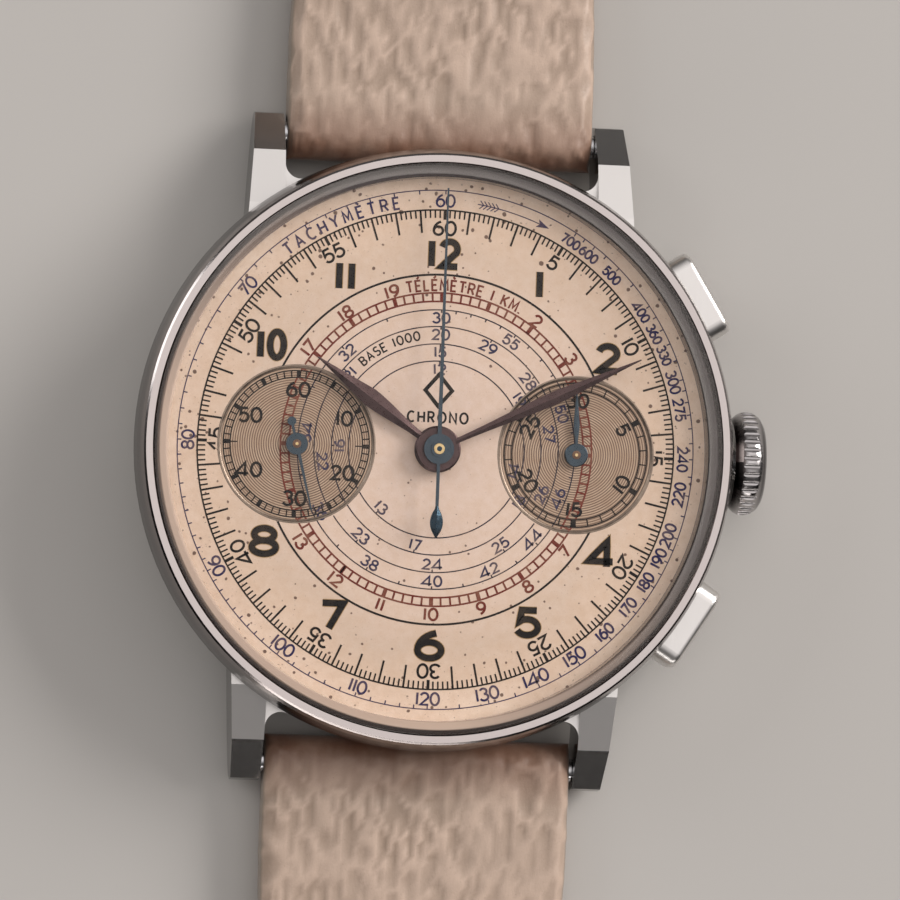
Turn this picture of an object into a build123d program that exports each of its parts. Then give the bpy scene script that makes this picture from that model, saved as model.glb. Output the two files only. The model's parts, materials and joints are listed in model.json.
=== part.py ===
from build123d import *
import os
from math import asin, atan2, cos, degrees, hypot, pi, radians, sin, sqrt

# A hand-wound two-register chronograph wristwatch, laid open and dial up on a flat surface.
# Millimetres. The origin is the centre of the case back's outer face, +Z goes up through the dial,
# +Y points to 12 o'clock and +X to the crown. Heights below are measured from the case back.

# ---- driving dimensions -----------------------------------------------------------------------
case_radius = 19.0
movement_radius = 16.65
case_bore = 16.75
back_radius = 17.2
back_thickness = 0.8
case_low = 0.8
case_top = 5.6
neck_radius = 18.1
neck_top = 6.9
bezel_top = 8.85
dial_low = 6.6
dial_top = 7.0
dial_radius = 17.4
register_offset = 8.86
register_radius = 4.9
stem_height = 3.75
pusher_angle = 32.0
pusher_travel = 0.8
lug_gap = 20.0
bar_y = 20.0
bar_z = 1.9
bar_radius = 0.75
running_gap = 0.04

# Movement layers: the dial is up and the bridges face the case back.
plate_low = 4.7
plate_top = 6.05
bridge_low = 2.2
bridge_high = 2.85
winding_low = 1.85
winding_high = 2.15
chrono_low = 1.4
chrono_high = 1.75
chrono_bridge_low = 0.9
chrono_bridge_high = 1.3
bridge_radius = 14.4

# Gear teeth and modules.
barrel_teeth = 90
center_pinion_teeth = 12
barrel_module = 0.125
center_teeth = 80
center_module = 0.11
third_teeth = 75
third_module = 0.10
train_pinion_teeth = 10
fourth_teeth = 80
fourth_module = 0.09
escape_pinion_teeth = 8
cannon_teeth = 12
minute_wheel_teeth = 36
cannon_module = 0.125
minute_pinion_teeth = 10
hour_teeth = 40
hour_module = 0.12
drive_teeth = 120
coupling_teeth = 60
drive_module = 3.2 * 2 / drive_teeth
ratchet_teeth = 48
crown_wheel_teeth = 30
winding_module = 0.2

# Hand-set angles, clockwise from 12 o'clock: ten past ten and 28 seconds, chronograph at zero.
hour_angle = 305.3
minute_angle = 64.2
running_angle = 165.5
chrono_angle = 0.0
recorder_angle = -1.5


# ---- helpers ----------------------------------------------------------------------------------
def polar(radius, angle, centre=(0.0, 0.0)):
    """The point at a radius and an angle in degrees, counted from +X."""
    return (centre[0] + radius * cos(radians(angle)), centre[1] + radius * sin(radians(angle)))


def bearing(a, b):
    """The direction in degrees from point a to point b."""
    reach = hypot(b[0] - a[0], b[1] - a[1])
    angle = degrees(asin((b[1] - a[1]) / reach))
    return angle if b[0] >= a[0] else 180 - angle


def gear_radius(teeth, module):
    return teeth * module / 2


def mesh_phase(teeth_a, phase_a, teeth_b, a, b):
    """The phase that puts a tooth gap of wheel b on a tooth of wheel a, along the line of centres."""
    line = bearing(a, b)
    return line + 180 - teeth_a / teeth_b * (phase_a - line) - 180 / teeth_b


def disc(radius, low, high, at=(0.0, 0.0), mode=Mode.ADD):
    """A round slab between two heights."""
    with Locations((at[0], at[1], low)):
        Cylinder(radius, high - low, align=(Align.CENTER, Align.CENTER, Align.MIN), mode=mode)


def ring(outer, inner, low, high, at=(0.0, 0.0)):
    disc(outer, low, high, at)
    disc(inner, low - 0.01, high + 0.01, at, Mode.SUBTRACT)


def toothed_disc(teeth, module, low, high, at=(0.0, 0.0), phase=0.0):
    """A straight-toothed wheel or pinion with flat-sided teeth."""
    pitch = gear_radius(teeth, module)
    root = pitch - 1.05 * module
    tip = pitch + 0.85 * module
    step = 360 / teeth
    outline = []
    for tooth in range(teeth):
        middle = phase + tooth * step
        for radius, offset in ((root, -0.30), (tip, -0.11), (tip, 0.11), (root, 0.30)):
            outline.append(polar(radius, middle + offset * step, at))
    with BuildSketch(Plane.XY.offset(low)) as profile:
        with BuildLine():
            Polyline(*outline, close=True)
        make_face()
    extrude(profile.sketch, amount=high - low)


def cross_out(hub, rim, spokes, spoke_width, low, high, at=(0.0, 0.0)):
    """Cuts the windows between a wheel's spokes."""
    with BuildSketch(Plane.XY.offset(low - 0.05)) as windows:
        with Locations(at):
            Circle(rim)
            Circle(hub, mode=Mode.SUBTRACT)
            with PolarLocations(rim / 2, spokes):
                Rectangle(rim + 0.2, spoke_width, mode=Mode.SUBTRACT)
    extrude(windows.sketch, amount=high - low + 0.1, mode=Mode.SUBTRACT)


def arm(points, radius, low, high, mode=Mode.ADD):
    """A flat lever or bridge arm: the straight band that joins round ends, one pair after another."""
    for start, end in zip(points[:-1], points[1:]):
        with BuildSketch(Plane.XY.offset(low)) as band:
            with Locations(start, end):
                Circle(radius)
            make_hull()
        extrude(band.sketch, amount=high - low, mode=mode)


def spiral_band(at, inner, outer, turns, thickness, low, high):
    """A flat spiral spring of even pitch."""
    steps = int(turns * 20)
    middle = [inner + (outer - inner) * k / steps for k in range(steps + 1)]
    inside = [polar(r - thickness / 2, 18 * k, at) for k, r in enumerate(middle)]
    outside = [polar(r + thickness / 2, 18 * k, at) for k, r in enumerate(middle)]
    with BuildSketch(Plane.XY.offset(low)) as band:
        with BuildLine():
            Polyline(*inside, *reversed(outside), close=True)
        make_face()
    extrude(band.sketch, amount=high - low)


def screw_seat(points, face, floor):
    """Counterbored holes that let screw heads lie flush with a face that looks down."""
    for at in points:
        disc(screw_head_radius + 0.02, face - 0.01, face + screw_head, at, Mode.SUBTRACT)
        disc(screw_radius + 0.02, face, floor, at, Mode.SUBTRACT)


def hand_plane(centre, angle, height):
    """A plane on a hand's pivot whose local Y runs along the hand."""
    clockwise = radians(angle)
    along_x = (cos(clockwise), -sin(clockwise), 0)
    return Plane(origin=(centre[0], centre[1], height), x_dir=along_x, z_dir=(0, 0, 1))


screw_head_radius = 0.6
screw_head = 0.28
screw_radius = 0.3
screw_end = 5.1

# ---- where the wheels turn --------------------------------------------------------------------
center = (0.0, 0.0)
fourth = (-register_offset, 0.0)
recorder = (register_offset, 0.0)
center_to_third = gear_radius(center_teeth + train_pinion_teeth, center_module)
third_to_fourth = gear_radius(third_teeth + train_pinion_teeth, third_module)
third_x = (center_to_third**2 - third_to_fourth**2 + register_offset**2) / (2 * register_offset)
third = (-third_x, sqrt(center_to_third**2 - third_x**2))
escape = polar(gear_radius(fourth_teeth + escape_pinion_teeth, fourth_module), -100, fourth)
pallet = polar(2.3, -50, escape)
balance = polar(5.6, -50, escape)
barrel = polar(gear_radius(barrel_teeth + center_pinion_teeth, barrel_module), 45)
crown_wheel_at = (12.2, 3.2)
minute_wheel_at = (0.0, gear_radius(cannon_teeth + minute_wheel_teeth, cannon_module))
column_at = (3.0, 12.0)
lever_pivot = (9.4, 11.6)
brake_pivot = (2.6, -7.6)
half_base = register_offset / 2
coupling_reach = gear_radius(drive_teeth + coupling_teeth, drive_module)
engaged_angle = degrees(asin(sqrt(coupling_reach**2 - half_base**2) / coupling_reach))
coupling_throw = 3.0
coupling_engaged = polar(coupling_reach, engaged_angle, fourth)
coupling_at_rest = polar(coupling_reach, engaged_angle + coupling_throw, fourth)

barrel_bridge_feet = [(-0.2, 12.9), (10.2, 9.2), (5.5, -2.0)]
train_bridge_feet = [(-3.2, 9.5), (-13.0, 3.5), (-12.8, -3.6)]
balance_cock_foot = (0.2, -12.4)
pallet_cock_foot = (-11.9, -7.5)
chrono_bridge_feet = [brake_pivot, (11.2, -9.2)]

os.makedirs("parts", exist_ok=True)

# ---- case -------------------------------------------------------------------------------------
lug_tip_y = 21.3
lug_web_radius = 1.0
pusher_width = 5.8
pusher_height = 3.2
pusher_corner = 1.0
pusher_cap_start = 18.85
pusher_apex = 20.55
pocket_floor = 17.95
crown_start = 19.2
crown_end = 21.4
crown_radius = 3.3
tube_start = 16.9


def side_plane(distance, angle):
    """A plane on the stem axis, a distance out from the centre, that faces outwards."""
    x, y = polar(distance, angle)
    return Plane(origin=(x, y, stem_height), x_dir=(-sin(radians(angle)), cos(radians(angle)), 0),
                 z_dir=(cos(radians(angle)), sin(radians(angle)), 0))


def rod(radius, start, end, angle, mode=Mode.ADD):
    """A round bar along the stem axis at an angle."""
    with BuildSketch(side_plane(start, angle)) as section:
        Circle(radius)
    extrude(section.sketch, amount=end - start, mode=mode)


def lug(side_x, side_y):
    """One of the four lugs, cut from its side view and narrowed towards the tip."""
    with BuildSketch(Plane.YZ.offset(side_x * 9.9)) as side_view:
        with BuildLine():
            Polyline((side_y * 13.0, 2.2), (side_y * 13.0, 5.58), (side_y * 15.2, 5.58),
                     (side_y * 18.65, 4.6), (side_y * 21.15, 2.45), (side_y * lug_tip_y, 1.4),
                     (side_y * 21.05, 0.75), (side_y * 20.3, 0.45), (side_y * 18.4, 0.75), close=True)
        make_face()
    extrude(side_view.sketch, amount=2.8, dir=(side_x, 0, 0))


with BuildPart() as case_middle:
    for side_x in (1, -1):
        for side_y in (1, -1):
            lug(side_x, side_y)
    with BuildSketch(Plane.XY) as lug_plan:
        with BuildLine():
            Polyline((lug_gap / 2, -22), (11.85, -lug_tip_y), (12.3, -14.6), (12.6, -10), (12.6, 10),
                     (12.3, 14.6), (11.85, lug_tip_y), (11.85, 22), (lug_gap / 2, 22), close=True)
        make_face()
        mirror(about=Plane.YZ)
    extrude(lug_plan.sketch, amount=8, mode=Mode.INTERSECT)
    # A small web rounds each corner where a lug's inner face meets the case.
    web_x = lug_gap / 2 - lug_web_radius
    web_y = sqrt((case_radius + lug_web_radius) ** 2 - web_x**2)
    inward = case_radius / (case_radius + lug_web_radius)
    halfway = atan2(-web_y, -web_x) / 2
    with BuildSketch(Plane.XY.offset(3.2)) as webs:
        with BuildLine():
            ThreePointArc((lug_gap / 2, web_y),
                          (web_x + lug_web_radius * cos(halfway), web_y + lug_web_radius * sin(halfway)),
                          (web_x * inward, web_y * inward))
            Polyline((web_x * inward, web_y * inward), (8.0, 15.8), (10.3, 14.5), (10.3, web_y),
                     (lug_gap / 2, web_y))
        make_face()
        mirror(about=Plane.YZ)
        mirror(about=Plane.XZ)
    extrude(webs.sketch, amount=1.55)
    with BuildSketch(Plane.XZ) as band:
        with BuildLine():
            Polyline((case_bore, case_low), (17.2, case_low), (17.9, 2.2), (18.5, 3.4), (18.92, 4.8),
                     (case_radius, case_top), (neck_radius, case_top), (neck_radius, neck_top),
                     (dial_radius + 0.05, neck_top), (dial_radius + 0.05, dial_low),
                     (case_bore, dial_low), close=True)
        make_face()
    revolve(band.sketch, axis=Axis.Z)
    with BuildSketch(Plane.XY.offset(case_low - 0.5)) as inside:
        Circle(case_bore)
    extrude(inside.sketch, amount=10, mode=Mode.SUBTRACT)
    with BuildSketch(Plane.XY.offset(dial_low)) as seat:
        Circle(dial_radius + 0.05)
    extrude(seat.sketch, amount=4, mode=Mode.SUBTRACT)
    for angle in (pusher_angle, -pusher_angle):
        with BuildSketch(side_plane(pocket_floor, angle)) as pocket:
            RectangleRounded(pusher_width + 0.2, pusher_height + 0.2, pusher_corner + 0.1)
        extrude(pocket.sketch, amount=3, mode=Mode.SUBTRACT)
        rod(0.96, 15.5, 19.5, angle, Mode.SUBTRACT)
    rod(1.11, 15.5, 19.5, 0, Mode.SUBTRACT)
    with Locations(*[(x, y * bar_y, bar_z) for x in (-10, 10) for y in (-1, 1)]):
        Cylinder(0.45, 2.2, rotation=(0, 90, 0), mode=Mode.SUBTRACT)
case_middle.part.label = "case_middle"
export_step(case_middle.part, "parts/case_middle.step")

with BuildPart() as case_back:
    disc(back_radius, 0, back_thickness)
    chamfer(case_back.faces().sort_by(Axis.Z)[0].edges(), length=0.35)
    ring(16.7, 16.0, back_thickness - 0.3, back_thickness + 0.7)
    disc(15.0, back_thickness - 0.25, back_thickness + 0.01, mode=Mode.SUBTRACT)
case_back.part.label = "case_back"
export_step(case_back.part, "parts/case_back.step")

with BuildPart() as bezel:
    with BuildSketch(Plane.XZ) as bezel_section:
        with BuildLine():
            Polyline((neck_radius + 0.02, 5.64), (case_radius, 5.64), (19.03, 6.1), (18.9, 7.2),
                     (18.72, 8.2), (18.55, 8.75), (18.42, bezel_top), (18.0, bezel_top),
                     (17.93, 8.78), (17.93, neck_top + 0.02), (neck_radius + 0.02, neck_top + 0.02),
                     close=True)
        make_face()
    revolve(bezel_section.sketch, axis=Axis.Z)
bezel.part.label = "bezel"
export_step(bezel.part, "parts/bezel.step")


def dome_height(rim, edge, rise, r):
    """The height at radius r of a spherical cap that rises from a rim height at an edge radius."""
    ball = (edge**2 + rise**2) / (2 * rise)
    return rim + rise - (ball - sqrt(ball**2 - r**2))


with BuildPart() as crystal:
    with BuildSketch(Plane.XZ) as crystal_section:
        with BuildLine():
            Line((0, 11.7), (0, 10.9))
            ThreePointArc((0, 10.9), (8.5, dome_height(8.4, 17.1, 2.5, 8.5)), (17.1, 8.4))
            Polyline((17.1, 8.4), (17.1, dial_top + 0.03), (17.9, dial_top + 0.03), (17.9, 9.1))
            ThreePointArc((17.9, 9.1), (8.9, dome_height(9.1, 17.9, 2.6, 8.9)), (0, 11.7))
        make_face()
    revolve(crystal_section.sketch, axis=Axis.Z)
crystal.part.label = "crystal"
export_step(crystal.part, "parts/crystal.step")

with BuildPart() as case_tubes:
    rod(1.1, tube_start, 19.0, 0)
    rod(0.78, tube_start - 1, 20, 0, Mode.SUBTRACT)
    for angle in (pusher_angle, -pusher_angle):
        rod(0.95, tube_start, pocket_floor, angle)
        rod(0.64, tube_start - 1, 19, angle, Mode.SUBTRACT)
case_tubes.part.label = "case_tubes"
export_step(case_tubes.part, "parts/case_tubes.step")

# The crown: a barrel turned about the stem, fluted all round, hollow over its tube.
flute_count = 38
with BuildPart() as crown:
    with BuildSketch(Plane.XZ) as crown_section:
        with BuildLine():
            Polyline((crown_start, stem_height), (crown_start, stem_height + 2.75),
                     (crown_start + 0.45, stem_height + 3.15))
            ThreePointArc((crown_start + 0.45, stem_height + 3.15), (20.25, stem_height + crown_radius),
                          (21.0, stem_height + 2.95))
            Polyline((21.0, stem_height + 2.95), (21.22, stem_height + 2.6),
                     (crown_end, stem_height), (crown_start, stem_height))
        make_face()
    revolve(crown_section.sketch, axis=Axis(origin=(0, 0, stem_height), direction=(1, 0, 0)))
    with BuildSketch(side_plane(crown_start - 0.5, 0)) as flutes:
        with PolarLocations(crown_radius + 0.08, flute_count):
            Circle(0.21)
    extrude(flutes.sketch, amount=2.25, mode=Mode.SUBTRACT)
    rod(1.2, crown_start - 1, crown_start + 0.9, 0, Mode.SUBTRACT)
crown.part.label = "crown"
export_step(crown.part, "parts/crown.step")


def pusher(angle):
    """A block cap with rounded corners and the stem that runs through its tube."""
    with BuildSketch(side_plane(pusher_cap_start, angle)) as cap:
        RectangleRounded(pusher_width, pusher_height, pusher_corner)
    extrude(cap.sketch, amount=pusher_apex - pusher_cap_start)
    outward = Axis(origin=(0, 0, stem_height), direction=(cos(radians(angle)), sin(radians(angle)), 0))
    fillet(faces().sort_by(outward)[-1].edges(), radius=0.4)
    rod(0.6, 15.7, pusher_cap_start, angle)


with BuildPart() as start_pusher:
    pusher(pusher_angle)
start_pusher.part.label = "start_pusher"
export_step(start_pusher.part, "parts/start_pusher.step")

with BuildPart() as reset_pusher:
    pusher(-pusher_angle)
reset_pusher.part.label = "reset_pusher"
export_step(reset_pusher.part, "parts/reset_pusher.step")

with BuildPart() as spring_bars:
    with Locations((0, bar_y, bar_z), (0, -bar_y, bar_z)):
        Cylinder(bar_radius, lug_gap - 0.1, rotation=(0, 90, 0))
        Cylinder(0.4, lug_gap + 1.8, rotation=(0, 90, 0))
spring_bars.part.label = "spring_bars"
export_step(spring_bars.part, "parts/spring_bars.step")

# ---- dial and hands ---------------------------------------------------------------------------
register_recess = 0.1
sub_hand_height = 7.15
hour_hand_height = 7.45
minute_hand_height = 7.8
chrono_hand_height = 8.2
hand_thickness = 0.14

with BuildPart() as dial:
    disc(dial_radius, dial_low, dial_top)
    for at in (fourth, recorder):
        disc(register_radius, dial_top - register_recess, dial_top + 0.01, at, Mode.SUBTRACT)
        disc(0.3, dial_low - 0.01, dial_top, at, Mode.SUBTRACT)
    disc(1.35, dial_low - 0.01, dial_top + 0.01, mode=Mode.SUBTRACT)
dial.part.label = "dial"
export_step(dial.part, "parts/dial.step")


def leaf(centre, angle, height, length, width, hub, root_width, widest):
    """A leaf hand: narrow where it leaves its hub, widest part way out, and pointed at the tip."""
    with BuildSketch(hand_plane(centre, angle, height)) as blade:
        with BuildLine():
            Spline((root_width / 2, 0), (width / 2, widest * length), (0.05, length))
            Line((0.05, length), (-0.05, length))
            Spline((-0.05, length), (-width / 2, widest * length), (-root_width / 2, 0))
            Line((-root_width / 2, 0), (root_width / 2, 0))
        make_face()
        Circle(hub)
    extrude(blade.sketch, amount=hand_thickness)


with BuildPart() as hour_hand:
    leaf(center, hour_angle, hour_hand_height, 9.5, 1.15, 1.47, 0.45, 0.57)
    disc(1.2, hour_hand_height - 0.01, hour_hand_height + hand_thickness + 0.01, mode=Mode.SUBTRACT)
hour_hand.part.label = "hour_hand"
export_step(hour_hand.part, "parts/hour_hand.step")

with BuildPart() as minute_hand:
    leaf(center, minute_angle, minute_hand_height, 14.1, 0.82, 1.4, 0.36, 0.6)
    disc(0.85, minute_hand_height - 0.01, minute_hand_height + hand_thickness + 0.01,
         mode=Mode.SUBTRACT)
minute_hand.part.label = "minute_hand"
export_step(minute_hand.part, "parts/minute_hand.step")

with BuildPart() as chronograph_hand:
    with BuildSketch(hand_plane(center, chrono_angle, chrono_hand_height)) as sweep_outline:
        Circle(0.95)
        with BuildLine():
            Polyline((0.13, 0), (0.05, 16.4), (-0.05, 16.4), (-0.13, 0), close=True)
        make_face()
        with BuildLine():
            Polyline((0.1, 0), (0.1, -3.9), (-0.1, -3.9), (-0.1, 0), close=True)
        make_face()
        with BuildLine():
            Spline((0.08, -3.7), (0.4, -4.75), (0.0, -5.6))
            Spline((0.0, -5.6), (-0.4, -4.75), (-0.08, -3.7))
            Line((-0.08, -3.7), (0.08, -3.7))
        make_face()
        Circle(0.29, mode=Mode.SUBTRACT)
    extrude(sweep_outline.sketch, amount=hand_thickness)
    ring(0.5, 0.29, chrono_hand_height, chrono_hand_height + 0.26)
chronograph_hand.part.label = "chronograph_hand"
export_step(chronograph_hand.part, "parts/chronograph_hand.step")

with BuildPart() as running_seconds_hand:
    with BuildSketch(hand_plane(fourth, running_angle, sub_hand_height)) as seconds_outline:
        Circle(0.68)
        with BuildLine():
            Polyline((0.11, 0), (0.04, 4.3), (-0.04, 4.3), (-0.11, 0), close=True)
        make_face()
        with Locations((0, -0.8)):
            Rectangle(0.16, 1.2)
        with Locations((0, -1.46)):
            Circle(0.28)
        Circle(0.19, mode=Mode.SUBTRACT)
    extrude(seconds_outline.sketch, amount=hand_thickness)
running_seconds_hand.part.label = "running_seconds_hand"
export_step(running_seconds_hand.part, "parts/running_seconds_hand.step")

with BuildPart() as minute_counter_hand:
    leaf(recorder, recorder_angle, sub_hand_height, 4.0, 0.38, 0.74, 0.16, 0.5)
    disc(0.19, sub_hand_height - 0.01, sub_hand_height + hand_thickness + 0.01, recorder,
         Mode.SUBTRACT)
minute_counter_hand.part.label = "minute_counter_hand"
export_step(minute_counter_hand.part, "parts/minute_counter_hand.step")

# ---- movement frame ---------------------------------------------------------------------------
jewel_radius = 0.45
jewel_hole = 0.16
pivot_radius = 0.12
arbor_radius = 0.25
jewel_thickness = 0.25
center_tube_radius = 0.55
runner_arbor_radius = 0.28
register_arbor_radius = 0.17
seconds_arbor_radius = 0.17

train_pivots = [third, escape]
plate_pivots = [third, escape, pallet, balance]
screw_points = barrel_bridge_feet + train_bridge_feet + [balance_cock_foot]

with BuildPart() as mainplate:
    disc(movement_radius, plate_low, plate_top)
    disc(center_tube_radius + running_gap, 0, 8, mode=Mode.SUBTRACT)
    disc(1.0, plate_top - 0.35, 8, mode=Mode.SUBTRACT)
    for at in plate_pivots:
        disc(jewel_radius, plate_low - 0.01, plate_low + jewel_thickness, at, Mode.SUBTRACT)
        disc(jewel_hole, plate_low, plate_top + 0.01, at, Mode.SUBTRACT)
    for at in (fourth, recorder, barrel):
        disc(0.3, plate_low - 0.01, plate_top + 0.01, at, Mode.SUBTRACT)
    disc(0.31, plate_low + 0.8, plate_top + 0.01, minute_wheel_at, Mode.SUBTRACT)
    with Locations((13.4, 0, plate_low)):
        Box(6.8, 4.0, 0.9, align=(Align.CENTER, Align.CENTER, Align.MIN), mode=Mode.SUBTRACT)
    for at in screw_points + chrono_bridge_feet + [pallet_cock_foot]:
        disc(screw_radius + 0.02, plate_low - 0.01, screw_end + 0.05, at, Mode.SUBTRACT)
mainplate.part.label = "mainplate"
export_step(mainplate.part, "parts/mainplate.step")


def bridge_plan(low_x, high_x, low_y, high_y):
    """The part of the bridge circle inside a rectangle, with rounded corners."""
    with BuildSketch(Plane.XY.offset(bridge_low)) as plan:
        Circle(bridge_radius)
        middle = ((low_x + high_x) / 2, (low_y + high_y) / 2)
        with Locations(middle):
            Rectangle(high_x - low_x, high_y - low_y, mode=Mode.INTERSECT)
        fillet(plan.vertices(), radius=0.8)
    extrude(plan.sketch, amount=bridge_high - bridge_low)


def bridge_feet(points, radius=0.95):
    for at in points:
        disc(radius, bridge_high - 0.01, plate_low, at)
    screw_seat(points, bridge_low, plate_low + 0.01)


with BuildPart() as barrel_bridge:
    bridge_plan(-1.3, 15.0, -2.9, 15.0)
    bridge_feet(barrel_bridge_feet, 0.68)
    disc(center_tube_radius + running_gap, 2, 3, mode=Mode.SUBTRACT)
    disc(0.3, 2, 3, recorder, Mode.SUBTRACT)
    disc(0.72, 2, 3, barrel, Mode.SUBTRACT)
    disc(0.5, bridge_low - 0.36, bridge_low + 0.01, crown_wheel_at)
    with Locations((12.6, -0.4, 2.0)):
        Box(4.0, 4.3, 1.0, align=(Align.CENTER, Align.CENTER, Align.MIN), mode=Mode.SUBTRACT)
    disc(0.35, chrono_high - 0.36, bridge_low + 0.01, column_at)
    disc(0.5, bridge_low - 0.45, bridge_low + 0.01, lever_pivot)
    disc(0.4, chrono_low - 0.1, bridge_low + 0.01, lever_pivot)
    disc(1.5, bridge_low - 0.01, bridge_high + 0.01, polar(bridge_radius, pusher_angle), Mode.SUBTRACT)
barrel_bridge.part.label = "barrel_bridge"
export_step(barrel_bridge.part, "parts/barrel_bridge.step")

with BuildPart() as train_bridge:
    bridge_plan(-15.0, -1.5, -5.0, 13.0)
    bridge_feet(train_bridge_feet)
    for at in train_pivots:
        disc(jewel_radius, bridge_high - jewel_thickness, bridge_high + 0.01, at, Mode.SUBTRACT)
        disc(jewel_hole, bridge_low - 0.01, bridge_high, at, Mode.SUBTRACT)
    disc(0.3, 2, 3, fourth, Mode.SUBTRACT)
train_bridge.part.label = "train_bridge"
export_step(train_bridge.part, "parts/train_bridge.step")

with BuildPart() as balance_cock:
    arm([balance, balance_cock_foot], 1.35, bridge_low, bridge_high)
    bridge_feet([balance_cock_foot])
    disc(jewel_radius, bridge_high - jewel_thickness, bridge_high + 0.01, balance, Mode.SUBTRACT)
    disc(jewel_hole, bridge_low - 0.01, bridge_high, balance, Mode.SUBTRACT)
    arm([balance, polar(2.3, 200, balance)], 0.35, bridge_low - 0.25, bridge_low)
    disc(0.75, bridge_low - 0.25, bridge_low, balance)
balance_cock.part.label = "balance_cock"
export_step(balance_cock.part, "parts/balance_cock.step")

pallet_cock_low = 3.94
pallet_cock_high = 4.12
with BuildPart() as pallet_cock:
    arm([pallet, pallet_cock_foot], 0.6, pallet_cock_low, pallet_cock_high)
    disc(0.75, pallet_cock_low, plate_low, pallet_cock_foot)
    disc(screw_head_radius + 0.02, pallet_cock_low - 0.01, pallet_cock_low + 0.2, pallet_cock_foot,
         Mode.SUBTRACT)
    disc(screw_radius + 0.02, pallet_cock_low, plate_low + 0.01, pallet_cock_foot, Mode.SUBTRACT)
    disc(jewel_hole, pallet_cock_low - 0.01, pallet_cock_high + 0.01, pallet, Mode.SUBTRACT)
pallet_cock.part.label = "pallet_cock"
export_step(pallet_cock.part, "parts/pallet_cock.step")

with BuildPart() as chronograph_bridge:
    arm([center, recorder], 1.2, chrono_bridge_low, chrono_bridge_high)
    arm([center, brake_pivot], 1.0, chrono_bridge_low, chrono_bridge_high)
    arm([recorder, chrono_bridge_feet[1]], 1.0, chrono_bridge_low, chrono_bridge_high)
    for at in chrono_bridge_feet:
        disc(0.85, chrono_bridge_high - 0.01, plate_low, at)
    screw_seat(chrono_bridge_feet, chrono_bridge_low, plate_low + 0.01)
    disc(runner_arbor_radius + running_gap, 0, 2, mode=Mode.SUBTRACT)
    disc(register_arbor_radius + running_gap, 0, 2, recorder, Mode.SUBTRACT)
chronograph_bridge.part.label = "chronograph_bridge"
export_step(chronograph_bridge.part, "parts/chronograph_bridge.step")

with BuildPart() as jewels:
    for at in plate_pivots:
        ring(jewel_radius, jewel_hole, plate_low, plate_low + jewel_thickness, at)
    for at in train_pivots + [balance]:
        ring(jewel_radius, jewel_hole, bridge_high - jewel_thickness, bridge_high, at)
jewels.part.label = "jewels"
export_step(jewels.part, "parts/jewels.step")


def screw(at, face, head=screw_head):
    """A slotted cheese-head screw, head down and flush with its plate's outer face."""
    disc(screw_head_radius, face, face + head, at)
    disc(screw_radius, face + head - 0.01, screw_end, at)
    with Locations((at[0], at[1], face)):
        Box(1.3, 0.18, 0.22, mode=Mode.SUBTRACT)


with BuildPart() as plate_screws:
    for at in screw_points:
        screw(at, bridge_low)
    for at in chrono_bridge_feet:
        screw(at, chrono_bridge_low)
    screw(pallet_cock_foot, pallet_cock_low, 0.2)
plate_screws.part.label = "plate_screws"
export_step(plate_screws.part, "parts/plate_screws.step")

# ---- power and winding ------------------------------------------------------------------------
barrel_low = 2.95
barrel_high = 4.15
drum_radius = 5.25
drum_wall = 0.25

with BuildPart() as mainspring_barrel:
    toothed_disc(barrel_teeth, barrel_module, barrel_low, barrel_low + 0.35, barrel)
    disc(drum_radius, barrel_low, barrel_high, barrel)
    disc(drum_radius - drum_wall, barrel_low + 0.12, barrel_high - 0.12, barrel, Mode.SUBTRACT)
    disc(0.75, barrel_low - 0.01, barrel_high + 0.01, barrel, Mode.SUBTRACT)
mainspring_barrel.part.label = "mainspring_barrel"
export_step(mainspring_barrel.part, "parts/mainspring_barrel.step")

with BuildPart() as barrel_arbor:
    disc(0.68, winding_low - 0.1, barrel_high + 0.1, barrel)
    disc(1.1, barrel_low + 0.2, barrel_high - 0.2, barrel)
    disc(0.26, barrel_high, plate_low + 0.8, barrel)
barrel_arbor.part.label = "barrel_arbor"
export_step(barrel_arbor.part, "parts/barrel_arbor.step")

with BuildPart() as mainspring:
    spiral_band(barrel, 1.35, drum_radius - drum_wall - 0.15, 9, 0.12, barrel_low + 0.2,
                barrel_high - 0.2)
mainspring.part.label = "mainspring"
export_step(mainspring.part, "parts/mainspring.step")

with BuildPart() as ratchet_wheel:
    toothed_disc(ratchet_teeth, winding_module, winding_low, winding_high, barrel)
    disc(0.69, winding_low - 0.01, winding_high + 0.01, barrel, Mode.SUBTRACT)
ratchet_wheel.part.label = "ratchet_wheel"
export_step(ratchet_wheel.part, "parts/ratchet_wheel.step")

crown_phase = mesh_phase(ratchet_teeth, 0, crown_wheel_teeth, barrel, crown_wheel_at)
with BuildPart() as crown_wheel:
    toothed_disc(crown_wheel_teeth, winding_module, winding_low, winding_high, crown_wheel_at,
                 crown_phase)
    disc(0.55, winding_low - 0.01, winding_high + 0.01, crown_wheel_at, Mode.SUBTRACT)
crown_wheel.part.label = "crown_wheel"
export_step(crown_wheel.part, "parts/crown_wheel.step")

click_pivot = polar(6.6, 148, barrel)
click_angle = bearing(barrel, click_pivot)
with BuildPart() as click:
    arm([click_pivot, polar(5.15, click_angle - 12, barrel)], 0.28, winding_low, winding_high)
    disc(0.55, winding_low, winding_high, click_pivot)
    disc(0.22, winding_high - 0.01, bridge_low - 0.01, click_pivot)
click.part.label = "click"
export_step(click.part, "parts/click.step")

stem_inner = 10.3
with BuildPart() as winding_stem:
    rod(0.4, stem_inner, 16.0, 0)
    rod(0.72, 15.0, crown_start + 0.9, 0)
    rod(0.25, stem_inner - 0.5, stem_inner, 0)
    rod(0.73, 15.4, 15.7, 0, Mode.SUBTRACT)
    rod(0.4, 15.3, 15.8, 0)
winding_stem.part.label = "winding_stem"
export_step(winding_stem.part, "parts/winding_stem.step")


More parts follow.
